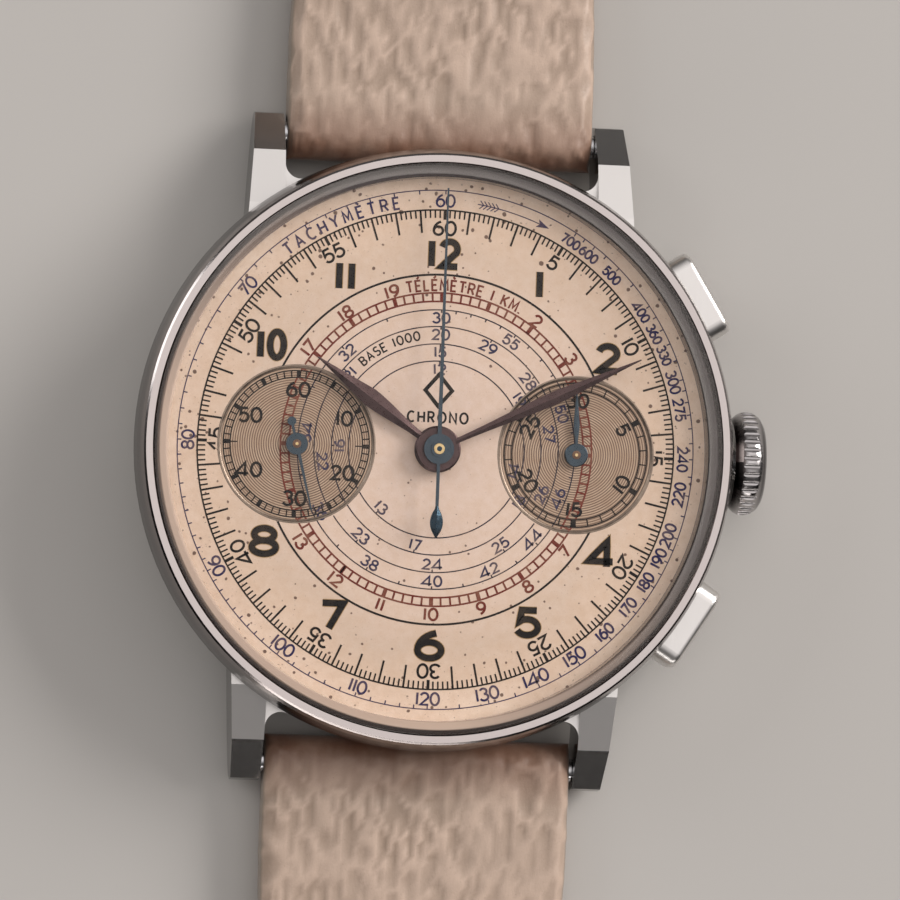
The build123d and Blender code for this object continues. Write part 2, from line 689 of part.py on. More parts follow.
def stem_gear(radius, teeth, start, end):
    """A pinion on the stem, with teeth along it and a free hole."""
    with BuildSketch(side_plane(start, 0)) as section:
        Circle(radius)
        with PolarLocations(radius, teeth):
            Rectangle(0.36, 2 * pi * radius / teeth * 0.45, mode=Mode.SUBTRACT)
        Circle(0.44, mode=Mode.SUBTRACT)
    extrude(section.sketch, amount=end - start)


with BuildPart() as winding_pinion:
    stem_gear(1.55, 16, 12.0, 13.3)
winding_pinion.part.label = "winding_pinion"
export_step(winding_pinion.part, "parts/winding_pinion.step")

with BuildPart() as sliding_pinion:
    stem_gear(1.25, 14, 10.6, 11.95)
sliding_pinion.part.label = "sliding_pinion"
export_step(sliding_pinion.part, "parts/sliding_pinion.step")

setting_pivot = (13.9, -2.6)
with BuildPart() as setting_lever:
    arm([setting_pivot, (15.0, -1.5)], 0.4, stem_height - 0.15, stem_height + 0.15)
    arm([(15.0, -1.5), (15.55, -0.75)], 0.14, stem_height - 0.15, stem_height + 0.15)
    disc(0.35, stem_height, plate_low - 0.02, setting_pivot)
setting_lever.part.label = "setting_lever"
export_step(setting_lever.part, "parts/setting_lever.step")

# ---- going train ------------------------------------------------------------------------------
center_wheel_low = 4.3
center_wheel_high = 4.52
third_wheel_low = 3.42
third_wheel_high = 3.62
fourth_wheel_low = 3.84
fourth_wheel_high = 4.02
escape_low = 4.2
escape_high = 4.36
tube_bottom = 2.3

center_pinion_phase = mesh_phase(barrel_teeth, 0, center_pinion_teeth, barrel, center)
with BuildPart() as center_wheel:
    toothed_disc(center_teeth, center_module, center_wheel_low, center_wheel_high)
    cross_out(1.2, 3.9, 5, 0.5, center_wheel_low, center_wheel_high)
    toothed_disc(center_pinion_teeth, barrel_module, barrel_low, center_wheel_low, center,
                 center_pinion_phase)
    disc(center_tube_radius, tube_bottom, plate_top + 0.3)
    disc(runner_arbor_radius + running_gap, tube_bottom - 0.1, plate_top + 0.4, mode=Mode.SUBTRACT)
center_wheel.part.label = "center_wheel"
export_step(center_wheel.part, "parts/center_wheel.step")

third_phase = mesh_phase(center_teeth, 0, train_pinion_teeth, center, third)
with BuildPart() as third_wheel:
    toothed_disc(third_teeth, third_module, third_wheel_low, third_wheel_high, third)
    cross_out(0.8, 3.3, 5, 0.4, third_wheel_low, third_wheel_high, third)
    disc(arbor_radius, 2.9, 4.65, third)
    toothed_disc(train_pinion_teeth, center_module, 4.2, 4.6, third, third_phase)
    disc(pivot_radius, bridge_low + 0.1, plate_low + 0.4, third)
third_wheel.part.label = "third_wheel"
export_step(third_wheel.part, "parts/third_wheel.step")

fourth_pinion_phase = mesh_phase(third_teeth, 0, train_pinion_teeth, third, fourth)
with BuildPart() as fourth_wheel:
    toothed_disc(fourth_teeth, fourth_module, fourth_wheel_low, fourth_wheel_high, fourth)
    cross_out(0.8, 3.15, 5, 0.35, fourth_wheel_low, fourth_wheel_high, fourth)
    toothed_disc(train_pinion_teeth, third_module, 3.2, fourth_wheel_low, fourth,
                 fourth_pinion_phase)
    disc(0.26, chrono_bridge_low, 4.6, fourth)
    disc(seconds_arbor_radius, 4.5, sub_hand_height + hand_thickness + 0.05, fourth)
fourth_wheel.part.label = "fourth_wheel"
export_step(fourth_wheel.part, "parts/fourth_wheel.step")

escape_pinion_phase = mesh_phase(fourth_teeth, 0, escape_pinion_teeth, fourth, escape)
escape_teeth = 15
# Both pallets stand clear of the teeth at rest, so the fork can rock either way.
escape_phase = 12.6
pallet_spread = 33
with BuildPart() as escape_wheel:
    with BuildSketch(Plane.XY.offset(escape_low)) as escape_outline:
        with BuildLine():
            Polyline(*[
                polar(radius, tooth * 360 / escape_teeth + lean + escape_phase, escape)
                for tooth in range(escape_teeth)
                for radius, lean in ((1.5, 0), (1.9, 9), (1.9, 11), (1.62, 13), (1.5, 14))
            ], close=True)
        make_face()
    extrude(escape_outline.sketch, amount=escape_high - escape_low)
    cross_out(0.5, 1.3, 4, 0.25, escape_low, escape_high, escape)
    toothed_disc(escape_pinion_teeth, fourth_module, escape_low - 0.42, escape_low + 0.01, escape,
                 escape_pinion_phase)
    disc(pivot_radius, bridge_low + 0.1, plate_low + 0.4, escape)
escape_wheel.part.label = "escape_wheel"
export_step(escape_wheel.part, "parts/escape_wheel.step")

fork_line = bearing(pallet, balance)
with BuildPart() as pallet_fork:
    arm([pallet, polar(2.35, fork_line, pallet)], 0.14, escape_low, escape_high)
    arm([polar(2.35, fork_line, pallet), polar(2.75, fork_line + 6, pallet)], 0.09, escape_low,
        escape_high)
    arm([polar(2.35, fork_line, pallet), polar(2.75, fork_line - 6, pallet)], 0.09, escape_low,
        escape_high)
    for side in (1, -1):
        stone_line = bearing(escape, pallet) + side * pallet_spread
        elbow = polar(2.28, stone_line, escape)
        arm([pallet, elbow], 0.12, escape_low, escape_high)
        arm([elbow, polar(2.04, stone_line, escape)], 0.1, escape_low, escape_high)
    disc(pivot_radius, pallet_cock_low + 0.05, plate_low + 0.4, pallet)
pallet_fork.part.label = "pallet_fork"
export_step(pallet_fork.part, "parts/pallet_fork.step")

balance_radius = 4.2
balance_low = 3.4
balance_high = 3.7
with BuildPart() as balance_wheel:
    disc(balance_radius, balance_low, balance_high, balance)
    cross_out(0.6, balance_radius - 0.4, 2, 0.5, balance_low, balance_high, balance)
    disc(0.2, bridge_high + 0.02, 4.6, balance)
    disc(pivot_radius, bridge_low + 0.1, plate_low + 0.4, balance)
    disc(0.42, escape_low - 0.13, escape_low - 0.04, balance)
    for spoke in range(14):
        spot = polar(balance_radius + 0.1, spoke * 360 / 14 + 12, balance)
        disc(0.18, balance_low + 0.03, balance_high - 0.03, spot)
balance_wheel.part.label = "balance_wheel"
export_step(balance_wheel.part, "parts/balance_wheel.step")

with BuildPart() as hairspring:
    spiral_band(balance, 0.42, 2.1, 9, 0.05, 2.98, 3.16)
    ring(0.45, 0.2, 2.94, 3.2, balance)
hairspring.part.label = "hairspring"
export_step(hairspring.part, "parts/hairspring.step")

# ---- motion work ------------------------------------------------------------------------------
motion_low = 6.12
motion_middle = 6.32
motion_high = 6.52
minute_phase = mesh_phase(cannon_teeth, 0, minute_wheel_teeth, center, minute_wheel_at)
hour_phase = mesh_phase(minute_pinion_teeth, 0, hour_teeth, minute_wheel_at, center)

with BuildPart() as cannon_pinion:
    toothed_disc(cannon_teeth, cannon_module, motion_low, motion_middle)
    disc(0.82, motion_middle - 0.01, minute_hand_height + hand_thickness)
    disc(center_tube_radius + running_gap, motion_low - 0.01, plate_top + 0.32, mode=Mode.SUBTRACT)
    disc(runner_arbor_radius + running_gap, motion_low, 9, mode=Mode.SUBTRACT)
cannon_pinion.part.label = "cannon_pinion"
export_step(cannon_pinion.part, "parts/cannon_pinion.step")

with BuildPart() as minute_wheel:
    toothed_disc(minute_wheel_teeth, cannon_module, motion_low, motion_middle - 0.03,
                 minute_wheel_at, minute_phase)
    toothed_disc(minute_pinion_teeth, hour_module, motion_middle - 0.04, motion_high,
                 minute_wheel_at)
    disc(0.27, plate_low + 0.9, motion_low + 0.01, minute_wheel_at)
minute_wheel.part.label = "minute_wheel"
export_step(minute_wheel.part, "parts/minute_wheel.step")

with BuildPart() as hour_wheel:
    toothed_disc(hour_teeth, hour_module, motion_middle + 0.03, motion_high, center, hour_phase)
    disc(1.18, motion_high - 0.01, hour_hand_height + hand_thickness)
    disc(0.87, motion_middle, 9, mode=Mode.SUBTRACT)
hour_wheel.part.label = "hour_wheel"
export_step(hour_wheel.part, "parts/hour_wheel.step")

# ---- chronograph work -------------------------------------------------------------------------
with BuildPart() as driving_wheel:
    toothed_disc(drive_teeth, drive_module, chrono_low, chrono_low + 0.22, fourth)
    cross_out(0.8, 2.8, 4, 0.4, chrono_low, chrono_low + 0.22, fourth)
    disc(0.27, chrono_low - 0.01, chrono_low + 0.3, fourth, Mode.SUBTRACT)
driving_wheel.part.label = "driving_wheel"
export_step(driving_wheel.part, "parts/driving_wheel.step")

coupling_phase = mesh_phase(drive_teeth, 0, coupling_teeth, fourth, coupling_at_rest)
with BuildPart() as coupling_wheel:
    toothed_disc(coupling_teeth, drive_module, chrono_low, chrono_low + 0.22, coupling_at_rest,
                 coupling_phase)
    disc(0.2, chrono_bridge_low + 0.05, chrono_low + 0.01, coupling_at_rest)
coupling_wheel.part.label = "coupling_wheel"
export_step(coupling_wheel.part, "parts/coupling_wheel.step")

with BuildPart() as coupling_lever:
    arm([fourth, coupling_at_rest, (-1.4, 8.6), (0.7, 10.9)], 0.55, chrono_bridge_low,
        chrono_bridge_high)
    disc(0.8, chrono_bridge_low, chrono_bridge_high, fourth)
    disc(0.3, 0, 2, fourth, Mode.SUBTRACT)
    disc(0.24, 0, 2, coupling_at_rest, Mode.SUBTRACT)
coupling_lever.part.label = "coupling_lever"
export_step(coupling_lever.part, "parts/coupling_lever.step")


def heart(at, low, high):
    """The heart-shaped cam that sends its hand back to zero."""
    with BuildSketch(Plane.XY.offset(low)) as cam:
        with Locations(at):
            Circle(0.42)
            with Locations((0.3, 0.28), (-0.3, 0.28)):
                Circle(0.4)
    extrude(cam.sketch, amount=high - low)


heart_high = 2.12
# The lever turns the coupling wheel with it; at the end of the throw it finds the runner's teeth.
runner_phase = mesh_phase(coupling_teeth, coupling_phase - coupling_throw, drive_teeth,
                          coupling_engaged, center)
with BuildPart() as chronograph_runner:
    toothed_disc(drive_teeth, drive_module, chrono_low, chrono_low + 0.22, center, runner_phase)
    cross_out(0.8, 2.8, 4, 0.4, chrono_low, chrono_low + 0.22)
    heart(center, chrono_low + 0.4, heart_high)
    disc(0.55, chrono_low + 0.2, chrono_low + 0.45)
    disc(runner_arbor_radius, chrono_bridge_low + 0.05, chrono_hand_height + hand_thickness + 0.2)
chronograph_runner.part.label = "chronograph_runner"
export_step(chronograph_runner.part, "parts/chronograph_runner.step")

recorder_teeth = 30
recorder_module = 0.13
with BuildPart() as minute_recorder_wheel:
    toothed_disc(recorder_teeth, recorder_module, chrono_low, chrono_low + 0.22, recorder)
    cross_out(0.7, 1.55, 4, 0.35, chrono_low, chrono_low + 0.22, recorder)
    heart(recorder, chrono_low + 0.4, heart_high)
    disc(0.5, chrono_low + 0.2, chrono_low + 0.45, recorder)
    disc(register_arbor_radius, chrono_bridge_low + 0.05, sub_hand_height + hand_thickness + 0.05,
         recorder)
minute_recorder_wheel.part.label = "minute_recorder_wheel"
export_step(minute_recorder_wheel.part, "parts/minute_recorder_wheel.step")

column_count = 6
with BuildPart() as column_wheel:
    toothed_disc(18, 0.16, chrono_low + 0.15, chrono_high, column_at)
    with Locations((column_at[0], column_at[1], chrono_low - 0.35)):
        with PolarLocations(0.85, column_count):
            Box(0.5, 0.36, 0.55, align=(Align.CENTER, Align.CENTER, Align.MIN))
    disc(0.4, chrono_low - 0.2, chrono_high + 0.01, column_at, Mode.SUBTRACT)
column_wheel.part.label = "column_wheel"
export_step(column_wheel.part, "parts/column_wheel.step")

tab_distance = 15.1
tab_radius = 0.42
start_tab = polar(tab_distance, pusher_angle)
with BuildPart() as operating_lever:
    arm([start_tab, lever_pivot, (5.6, 13.0), (5.1, 12.6)], 0.42, chrono_low, chrono_high)
    disc(0.8, chrono_low, chrono_high, lever_pivot)
    disc(tab_radius, chrono_low, stem_height + 0.4, start_tab)
    disc(0.45, 0, 3, lever_pivot, Mode.SUBTRACT)
operating_lever.part.label = "operating_lever"
export_step(operating_lever.part, "parts/operating_lever.step")


def along_reset(distance, offset=0.0):
    """A point on the reset pusher's line, a distance out and an offset to its left."""
    x, y = polar(distance, -pusher_angle)
    return (x + offset * sin(radians(pusher_angle)), y + offset * cos(radians(pusher_angle)))


recorder_reach = register_offset * cos(radians(pusher_angle))
recorder_side = register_offset * sin(radians(pusher_angle))
with BuildPart() as reset_hammer:
    arm([along_reset(2.2), along_reset(tab_distance)], 0.45, winding_low, heart_high)
    arm([along_reset(11.6), along_reset(11.6, recorder_side)], 0.4, winding_low, heart_high)
    arm([along_reset(11.6, recorder_side), along_reset(recorder_reach + 2.2, recorder_side)], 0.4,
        winding_low, heart_high)
    disc(tab_radius, winding_low, stem_height + 0.4, along_reset(tab_distance))
reset_hammer.part.label = "reset_hammer"
export_step(reset_hammer.part, "parts/reset_hammer.step")

brake_tip = polar(gear_radius(drive_teeth, drive_module) + 0.42, -60)
with BuildPart() as brake_lever:
    arm([brake_pivot, brake_tip], 0.3, chrono_low, chrono_high)
    disc(1.35, chrono_low, chrono_high, brake_pivot)
    disc(0.9, 0, 3, brake_pivot, Mode.SUBTRACT)
brake_lever.part.label = "brake_lever"
export_step(brake_lever.part, "parts/brake_lever.step")

# ---- strap and buckle -------------------------------------------------------------------------
strap_width = 19.6
strap_end_width = 16.0
tube_radius = 1.7
buckle_side_end = 88.0
hole_side_end = 130.0
buckle_bar_radius = 0.6
buckle_bar_z = 1.7
strap_end_tube = 1.25
keeper_wall = 0.9
strap_end_low = 1.15
hole_count = 7
hole_spacing = 6.5
first_hole_y = 84.0


def strap_plan(side_y, end_y, end_radius):
    """Keeps the strap inside its outline seen from above: a taper with rounded end corners."""
    with BuildSketch(Plane.XY.offset(-1)) as plan:
        with BuildLine():
            Polyline((-strap_width / 2, side_y * 17), (strap_width / 2, side_y * 17),
                     (strap_width / 2, side_y * 26), (strap_end_width / 2, side_y * 75),
                     (strap_end_width / 2, side_y * end_y), (-strap_end_width / 2, side_y * end_y),
                     (-strap_end_width / 2, side_y * 75), (-strap_width / 2, side_y * 26), close=True)
        make_face()
        ends = plan.vertices().group_by(Axis.Y)[-1 if side_y > 0 else 0]
        fillet(ends, radius=end_radius)
    extrude(plan.sketch, amount=8, mode=Mode.INTERSECT)


def strap_tube(side_y):
    """The round end that wraps a spring bar, with the hole for it."""
    with BuildSketch(Plane.YZ) as wrap:
        with Locations((side_y * bar_y, bar_z)):
            Circle(tube_radius)
    extrude(wrap.sketch, amount=strap_width / 2, both=True)


def bar_hole(y, z, radius):
    with BuildSketch(Plane.YZ) as hole:
        with Locations((y, z)):
            Circle(radius)
    extrude(hole.sketch, amount=15, both=True, mode=Mode.SUBTRACT)


with BuildPart() as strap_buckle_side:
    strap_tube(1)
    with BuildSketch(Plane.YZ) as strap_side:
        with BuildLine():
            Polyline((bar_y, 0.2), (40, 0.25), (60, strap_end_low), (84, strap_end_low),
                     (buckle_side_end, buckle_bar_z - strap_end_tube + 0.25),
                     (buckle_side_end, buckle_bar_z + strap_end_tube - 0.25), (84, 3.3), (60, 3.4),
                     (40, 3.3), (bar_y, bar_z + tube_radius), close=True)
        make_face()
        with Locations((buckle_side_end, buckle_bar_z)):
            Circle(strap_end_tube)
    extrude(strap_side.sketch, amount=strap_width / 2, both=True)
    strap_plan(1, buckle_side_end + strap_end_tube, 0.6)
    bar_hole(bar_y, bar_z, bar_radius + running_gap)
    bar_hole(buckle_side_end, buckle_bar_z, buckle_bar_radius + running_gap)
    with Locations((0, buckle_side_end, buckle_bar_z)):
        Box(2.6, 5.0, 4.0, mode=Mode.SUBTRACT)
strap_buckle_side.part.label = "strap_buckle_side"
export_step(strap_buckle_side.part, "parts/strap_buckle_side.step")

with BuildPart() as strap_hole_side:
    strap_tube(-1)
    with BuildSketch(Plane.YZ) as long_side:
        with BuildLine():
            Polyline((-bar_y, 0.2), (-30, 0.0), (-hole_side_end, 0.0), (-hole_side_end, 2.1),
                     (-75, 2.3), (-40, 2.9), (-bar_y, bar_z + tube_radius), close=True)
        make_face()
    extrude(long_side.sketch, amount=strap_width / 2, both=True)
    strap_plan(-1, hole_side_end, 6.5)
    bar_hole(-bar_y, bar_z, bar_radius + running_gap)
    with Locations(*[(0, -first_hole_y - k * hole_spacing, 0) for k in range(hole_count)]):
        Cylinder(0.85, 8, mode=Mode.SUBTRACT)
strap_hole_side.part.label = "strap_hole_side"
export_step(strap_hole_side.part, "parts/strap_hole_side.step")

with BuildPart() as buckle_bar:
    with Locations((0, buckle_side_end, buckle_bar_z)):
        Cylinder(buckle_bar_radius, 19.6, rotation=(0, 90, 0))
buckle_bar.part.label = "buckle_bar"
export_step(buckle_bar.part, "parts/buckle_bar.step")

buckle_half_width = 10.0
buckle_front = 99.0
buckle_thickness = 1.7
arm_thickness = 1.5
with BuildPart() as buckle_frame:
    with BuildSketch(Plane.XY.offset(buckle_bar_z - buckle_thickness / 2)) as frame_plan:
        with Locations((0, (buckle_side_end - 1.4 + buckle_front) / 2)):
            RectangleRounded(2 * buckle_half_width, buckle_front - buckle_side_end + 1.4, 1.3)
        with Locations((0, (buckle_side_end - 3 + buckle_front - 2.2) / 2)):
            Rectangle(2 * (buckle_half_width - arm_thickness), buckle_front - buckle_side_end + 0.8,
                      mode=Mode.SUBTRACT)
    extrude(frame_plan.sketch, amount=buckle_thickness)
    fillet(edges().filter_by(Axis.Z, reverse=True).group_by(Axis.Z)[-1], radius=0.35)
    bar_hole(buckle_side_end, buckle_bar_z, buckle_bar_radius + 0.01)
buckle_frame.part.label = "buckle_frame"
export_step(buckle_frame.part, "parts/buckle_frame.step")

tongue_width = 1.9
tongue_low = buckle_bar_z + buckle_thickness / 2 + 0.05
with BuildPart() as buckle_tongue:
    with BuildSketch(Plane.YZ) as tongue_side:
        with Locations((buckle_side_end, buckle_bar_z)):
            Circle(1.2)
        with BuildLine():
            Polyline((buckle_side_end, tongue_low - 0.6), (buckle_side_end + 2.5, tongue_low),
                     (buckle_front + 0.2, tongue_low), (buckle_front + 0.2, tongue_low + 0.5),
                     (buckle_front - 0.6, tongue_low + 0.85), (buckle_side_end + 2.5, tongue_low + 0.95),
                     (buckle_side_end - 0.2, buckle_bar_z + 1.18), close=True)
        make_face()
        with Locations((buckle_side_end, buckle_bar_z)):
            Circle(buckle_bar_radius + running_gap, mode=Mode.SUBTRACT)
    extrude(tongue_side.sketch, amount=tongue_width / 2, both=True)
buckle_tongue.part.label = "buckle_tongue"
export_step(buckle_tongue.part, "parts/buckle_tongue.step")

keeper_inner_height = 4.6
free_keeper_y = 70.0
fixed_keeper_y = 80.5
keeper_width = 5.0


def keeper(y, side_gap, gap_below):
    """A leather loop round the strap, with room above it for the other strap."""
    half_width = strap_end_width / 2 + side_gap
    low = strap_end_low - gap_below - keeper_wall
    high = strap_end_low + keeper_inner_height + keeper_wall
    with BuildSketch(Plane.XZ.offset(-y - keeper_width / 2)) as loop:
        with Locations((0, (low + high) / 2)):
            RectangleRounded(2 * (half_width + keeper_wall), high - low, 1.4)
            RectangleRounded(2 * half_width, high - low - 2 * keeper_wall, 0.25, mode=Mode.SUBTRACT)
    extrude(loop.sketch, amount=keeper_width)


with BuildPart() as fixed_keeper:
    keeper(fixed_keeper_y, 0.15, 0.06)
fixed_keeper.part.label = "fixed_keeper"
export_step(fixed_keeper.part, "parts/fixed_keeper.step")

with BuildPart() as free_keeper:
    keeper(free_keeper_y, 0.55, 0.1)
free_keeper.part.label = "free_keeper"
export_step(free_keeper.part, "parts/free_keeper.step")
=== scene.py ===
import json
import math

import bmesh
import bpy
from mathutils import Matrix, Vector, noise


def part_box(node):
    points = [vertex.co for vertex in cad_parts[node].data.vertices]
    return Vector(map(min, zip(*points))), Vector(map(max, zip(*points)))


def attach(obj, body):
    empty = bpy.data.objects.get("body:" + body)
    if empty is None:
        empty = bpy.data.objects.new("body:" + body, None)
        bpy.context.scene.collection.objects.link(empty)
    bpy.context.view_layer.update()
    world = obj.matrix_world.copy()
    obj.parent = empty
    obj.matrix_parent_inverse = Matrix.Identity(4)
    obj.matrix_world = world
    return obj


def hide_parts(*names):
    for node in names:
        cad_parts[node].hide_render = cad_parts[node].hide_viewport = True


# Looks of a hand-wound two-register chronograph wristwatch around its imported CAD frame.
# Lengths in the tables below are millimetres; MM turns them into the frame's metres.
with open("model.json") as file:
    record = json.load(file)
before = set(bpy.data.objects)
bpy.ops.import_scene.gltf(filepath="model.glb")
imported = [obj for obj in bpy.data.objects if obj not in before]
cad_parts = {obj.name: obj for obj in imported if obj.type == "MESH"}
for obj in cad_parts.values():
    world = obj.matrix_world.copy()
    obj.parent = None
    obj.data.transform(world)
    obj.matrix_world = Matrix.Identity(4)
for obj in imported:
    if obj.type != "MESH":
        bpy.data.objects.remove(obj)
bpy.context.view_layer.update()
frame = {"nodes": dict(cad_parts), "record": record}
MM = 0.001

# ---- sizes shared by several pieces ----
dial_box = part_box("dial")
DIAL_TOP = dial_box[1].z / MM
DIAL_RADIUS = dial_box[1].x / MM
# The sunk registers: their place, size and depth, and the pitch of their turned rings.
REGISTER_X = 8.86
AXIS = (0, 0)
LEFT_AXIS = (-REGISTER_X, 0)
RIGHT_AXIS = (REGISTER_X, 0)
REGISTER_RADIUS = 4.9
RECESS = 0.1
TURNED_PITCH = 0.15
# The crystal's upright wall: where it begins and where its painted dark outer shade begins.
CRYSTAL_INNER = 17.1
WALL_SHADE_EDGE = 17.6
# How far print stands above the dial, and the small steps that keep crossing strokes apart.
PRINT_LIFT = 0.012
STROKE_STEP = 0.00025
STROKE_LEVELS = 13
# The crown: the height of its axis, its radius and how far out it ends.
CROWN_HEIGHT = 3.75
CROWN_RADIUS = 3.3
CROWN_END = 21.4
# The spring bars between the lugs.
BAR_Y = 20.0
BAR_Z = 1.9


# ---- small mesh tools ----
def add_to_scene(name, data):
    made = bpy.data.objects.new(name, data)
    bpy.context.scene.collection.objects.link(made)
    return made


def new_object(name, verts, faces, material, smooth=False):
    """A mesh object made from points in millimetres."""
    mesh = bpy.data.meshes.new(name)
    mesh.from_pydata([(x * MM, y * MM, z * MM) for x, y, z in verts], [], faces)
    mesh.validate()
    mesh.materials.append(material)
    if smooth:
        mesh.polygons.foreach_set("use_smooth", [True] * len(mesh.polygons))
    return add_to_scene(name, mesh)


def clock(radius, angle):
    """The point at a radius and an angle in degrees, clockwise from 12 o'clock."""
    turn = math.radians(angle)
    return (radius * math.sin(turn), radius * math.cos(turn))


def ring_faces(rows, ring, closed=False, turned=False):
    """Quads between rings of points that follow each other. Closed joins the last ring to the
    first, and turned makes the quads face the other way."""
    faces = []
    for row in range(rows if closed else rows - 1):
        for k in range(ring):
            a = row * ring + k
            b = row * ring + (k + 1) % ring
            c = (b + ring) % (rows * ring)
            d = (a + ring) % (rows * ring)
            faces.append((a, d, c, b) if turned else (a, b, c, d))
    return faces


def corner_arc(x, z, radius, start, count):
    """Points with their outward normals round a quarter turn, from a start angle in degrees."""
    arc = []
    for step in range(count):
        turn = math.radians(start - 90 * step / (count - 1))
        across, up = math.cos(turn), math.sin(turn)
        arc.append((x + radius * across, z + radius * up, across, up))
    return arc


def round_box_arcs(half, low, high, radius, count):
    """The four corners of a rounded box, clockwise from the top right."""
    flat = half - radius
    return [corner_arc(flat, high - radius, radius, 90, count),
            corner_arc(flat, low + radius, radius, 0, count),
            corner_arc(-flat, low + radius, radius, -90, count),
            corner_arc(-flat, high - radius, radius, 180, count)]


def fit(piece, body, slot, node=None):
    """Puts a piece on its body, in place of a CAD node if one is named. The slot is not used."""
    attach(piece, body)
    if node:
        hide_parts(node)


def moved(point, centre):
    return (centre[0] + point[0], centre[1] + point[1])


def between(a, b, share):
    """The point part of the way from a to b."""
    return tuple(p + (q - p) * share for p, q in zip(a, b))


def register_distance(x, y):
    """How far a point is from the nearer register's centre."""
    return math.hypot(abs(x) - REGISTER_X, y)


# ---- material tools ----
def feed(tree, socket, value):
    """Links another node's output to a socket, or sets the socket to a plain value."""
    if hasattr(value, "node"):
        tree.links.new(value, socket)
    else:
        socket.default_value = value


def new_node(tree, kind, **sockets):
    """A shader node with its sockets fed: underscores in their names stand for spaces."""
    node = tree.nodes.new("ShaderNode" + kind)
    for key, value in sockets.items():
        feed(tree, node.inputs[key.replace("_", " ")], value)
    return node


class Nodes:
    """A short way to write one material's nodes, with its coordinates in millimetres."""

    def __init__(self, name):
        self.material = bpy.data.materials.new(name)
        self.material.use_nodes = True
        self.tree = self.material.node_tree
        self.shader = self.tree.nodes["Principled BSDF"]
        place = self.new("TexCoord").outputs["Object"]
        self.mm = self.new("Mapping", Vector=place, Scale=(1 / MM, 1 / MM, 1 / MM)).outputs[0]

    def new(self, kind, **sockets):
        return new_node(self.tree, kind, **sockets)

    def set(self, **values):
        """Sets the main shader's sockets: underscores stand for spaces."""
        for key, value in values.items():
            feed(self.tree, self.shader.inputs[key.replace("_", " ")], value)

    def math(self, operation, a, b=0.0, c=0.0):
        node = self.new("Math")
        node.operation = operation
        for socket, value in zip(node.inputs, (a, b, c)):
            feed(self.tree, socket, value)
        return node.outputs[0]

    def less(self, a, b):
        return self.math("SUBTRACT", a, b)

    def times(self, first, *others):
        for other in others:
            first = self.math("MULTIPLY", first, other)
        return first

    def scaled(self, value, factor, offset):
        return self.math("MULTIPLY_ADD", value, factor, offset)

    def stretch(self, scale):
        """The coordinates in millimetres, scaled along each axis."""
        return self.new("Mapping", Vector=self.mm, Scale=scale).outputs[0]

    def noise(self, scale, detail=3.0, rough=0.55, vector=None):
        return self.new("TexNoise", Scale=scale, Detail=detail, Roughness=rough,
                        Vector=vector or self.mm).outputs[0]

    def cells(self, scale):
        """The distance to the nearest of many scattered points."""
        return self.new("TexVoronoi", Scale=scale, Vector=self.mm).outputs["Distance"]

    def span(self, value, low, high, to_low=0.0, to_high=1.0):
        """Maps a value from one range to another, clamped."""
        return self.new("MapRange", Value=value, From_Min=low, From_Max=high, To_Min=to_low,
                        To_Max=to_high).outputs["Result"]

    def ramp(self, value, stops):
        """Colours along a value, from stops of (place, colour)."""
        node = self.new("ValToRGB", Fac=value)
        fill_band(node.color_ramp, stops)
        return node.outputs["Color"]

    def mix(self, factor, a, b):
        """Blends two colours, each a tuple or another node's output."""
        node = self.new("Mix")
        node.data_type = "RGBA"
        for index, value in ((0, factor), (6, a), (7, b)):
            feed(self.tree, node.inputs[index], (*value, 1) if isinstance(value, tuple) else value)
        return node.outputs[2]

    def bump(self, height, strength, distance_mm):
        node = self.new("Bump", Strength=strength, Distance=distance_mm * MM, Height=height)
        self.set(Normal=node.outputs["Normal"])

    def split(self, vector=None):
        """A vector's x, y and z; the coordinates in millimetres if none is given."""
        return self.new("SeparateXYZ", Vector=vector or self.mm).outputs

    def steepness(self, axis):
        """How much a face looks along an axis, either way, from 0 to 1."""
        normal = self.new("NewGeometry").outputs["Normal"]
        return self.math("ABSOLUTE", self.split(normal)[axis])

    def length(self, a, b):
        """The length of a flat vector from its two parts."""
        squares = [self.math("POWER", value, 2.0) for value in (a, b)]
        return self.math("SQRT", self.math("ADD", *squares))

    def flat_radius(self):
        """The distance from the watch's axis, in millimetres."""
        x, y, _ = self.split()
        return self.length(x, y)


def fill_band(band, stops):
    """Gives a colour ramp its stops of (place, colour)."""
    while len(band.elements) < len(stops):
        band.elements.new(0.5)
    for element, (place, colour) in zip(band.elements, stops):
        element.position = place
        element.color = (*colour, 1)


def darker(colour, share):
    """A darker version of a colour."""
    return tuple(share * part for part in colour)


def srgb(red, green, blue):
    """Linear colour from 0-255 display values."""
    def line(value):
        value /= 255
        return value / 12.92 if value <= 0.04045 else ((value + 0.055) / 1.055) ** 2.4
    return (line(red), line(green), line(blue))


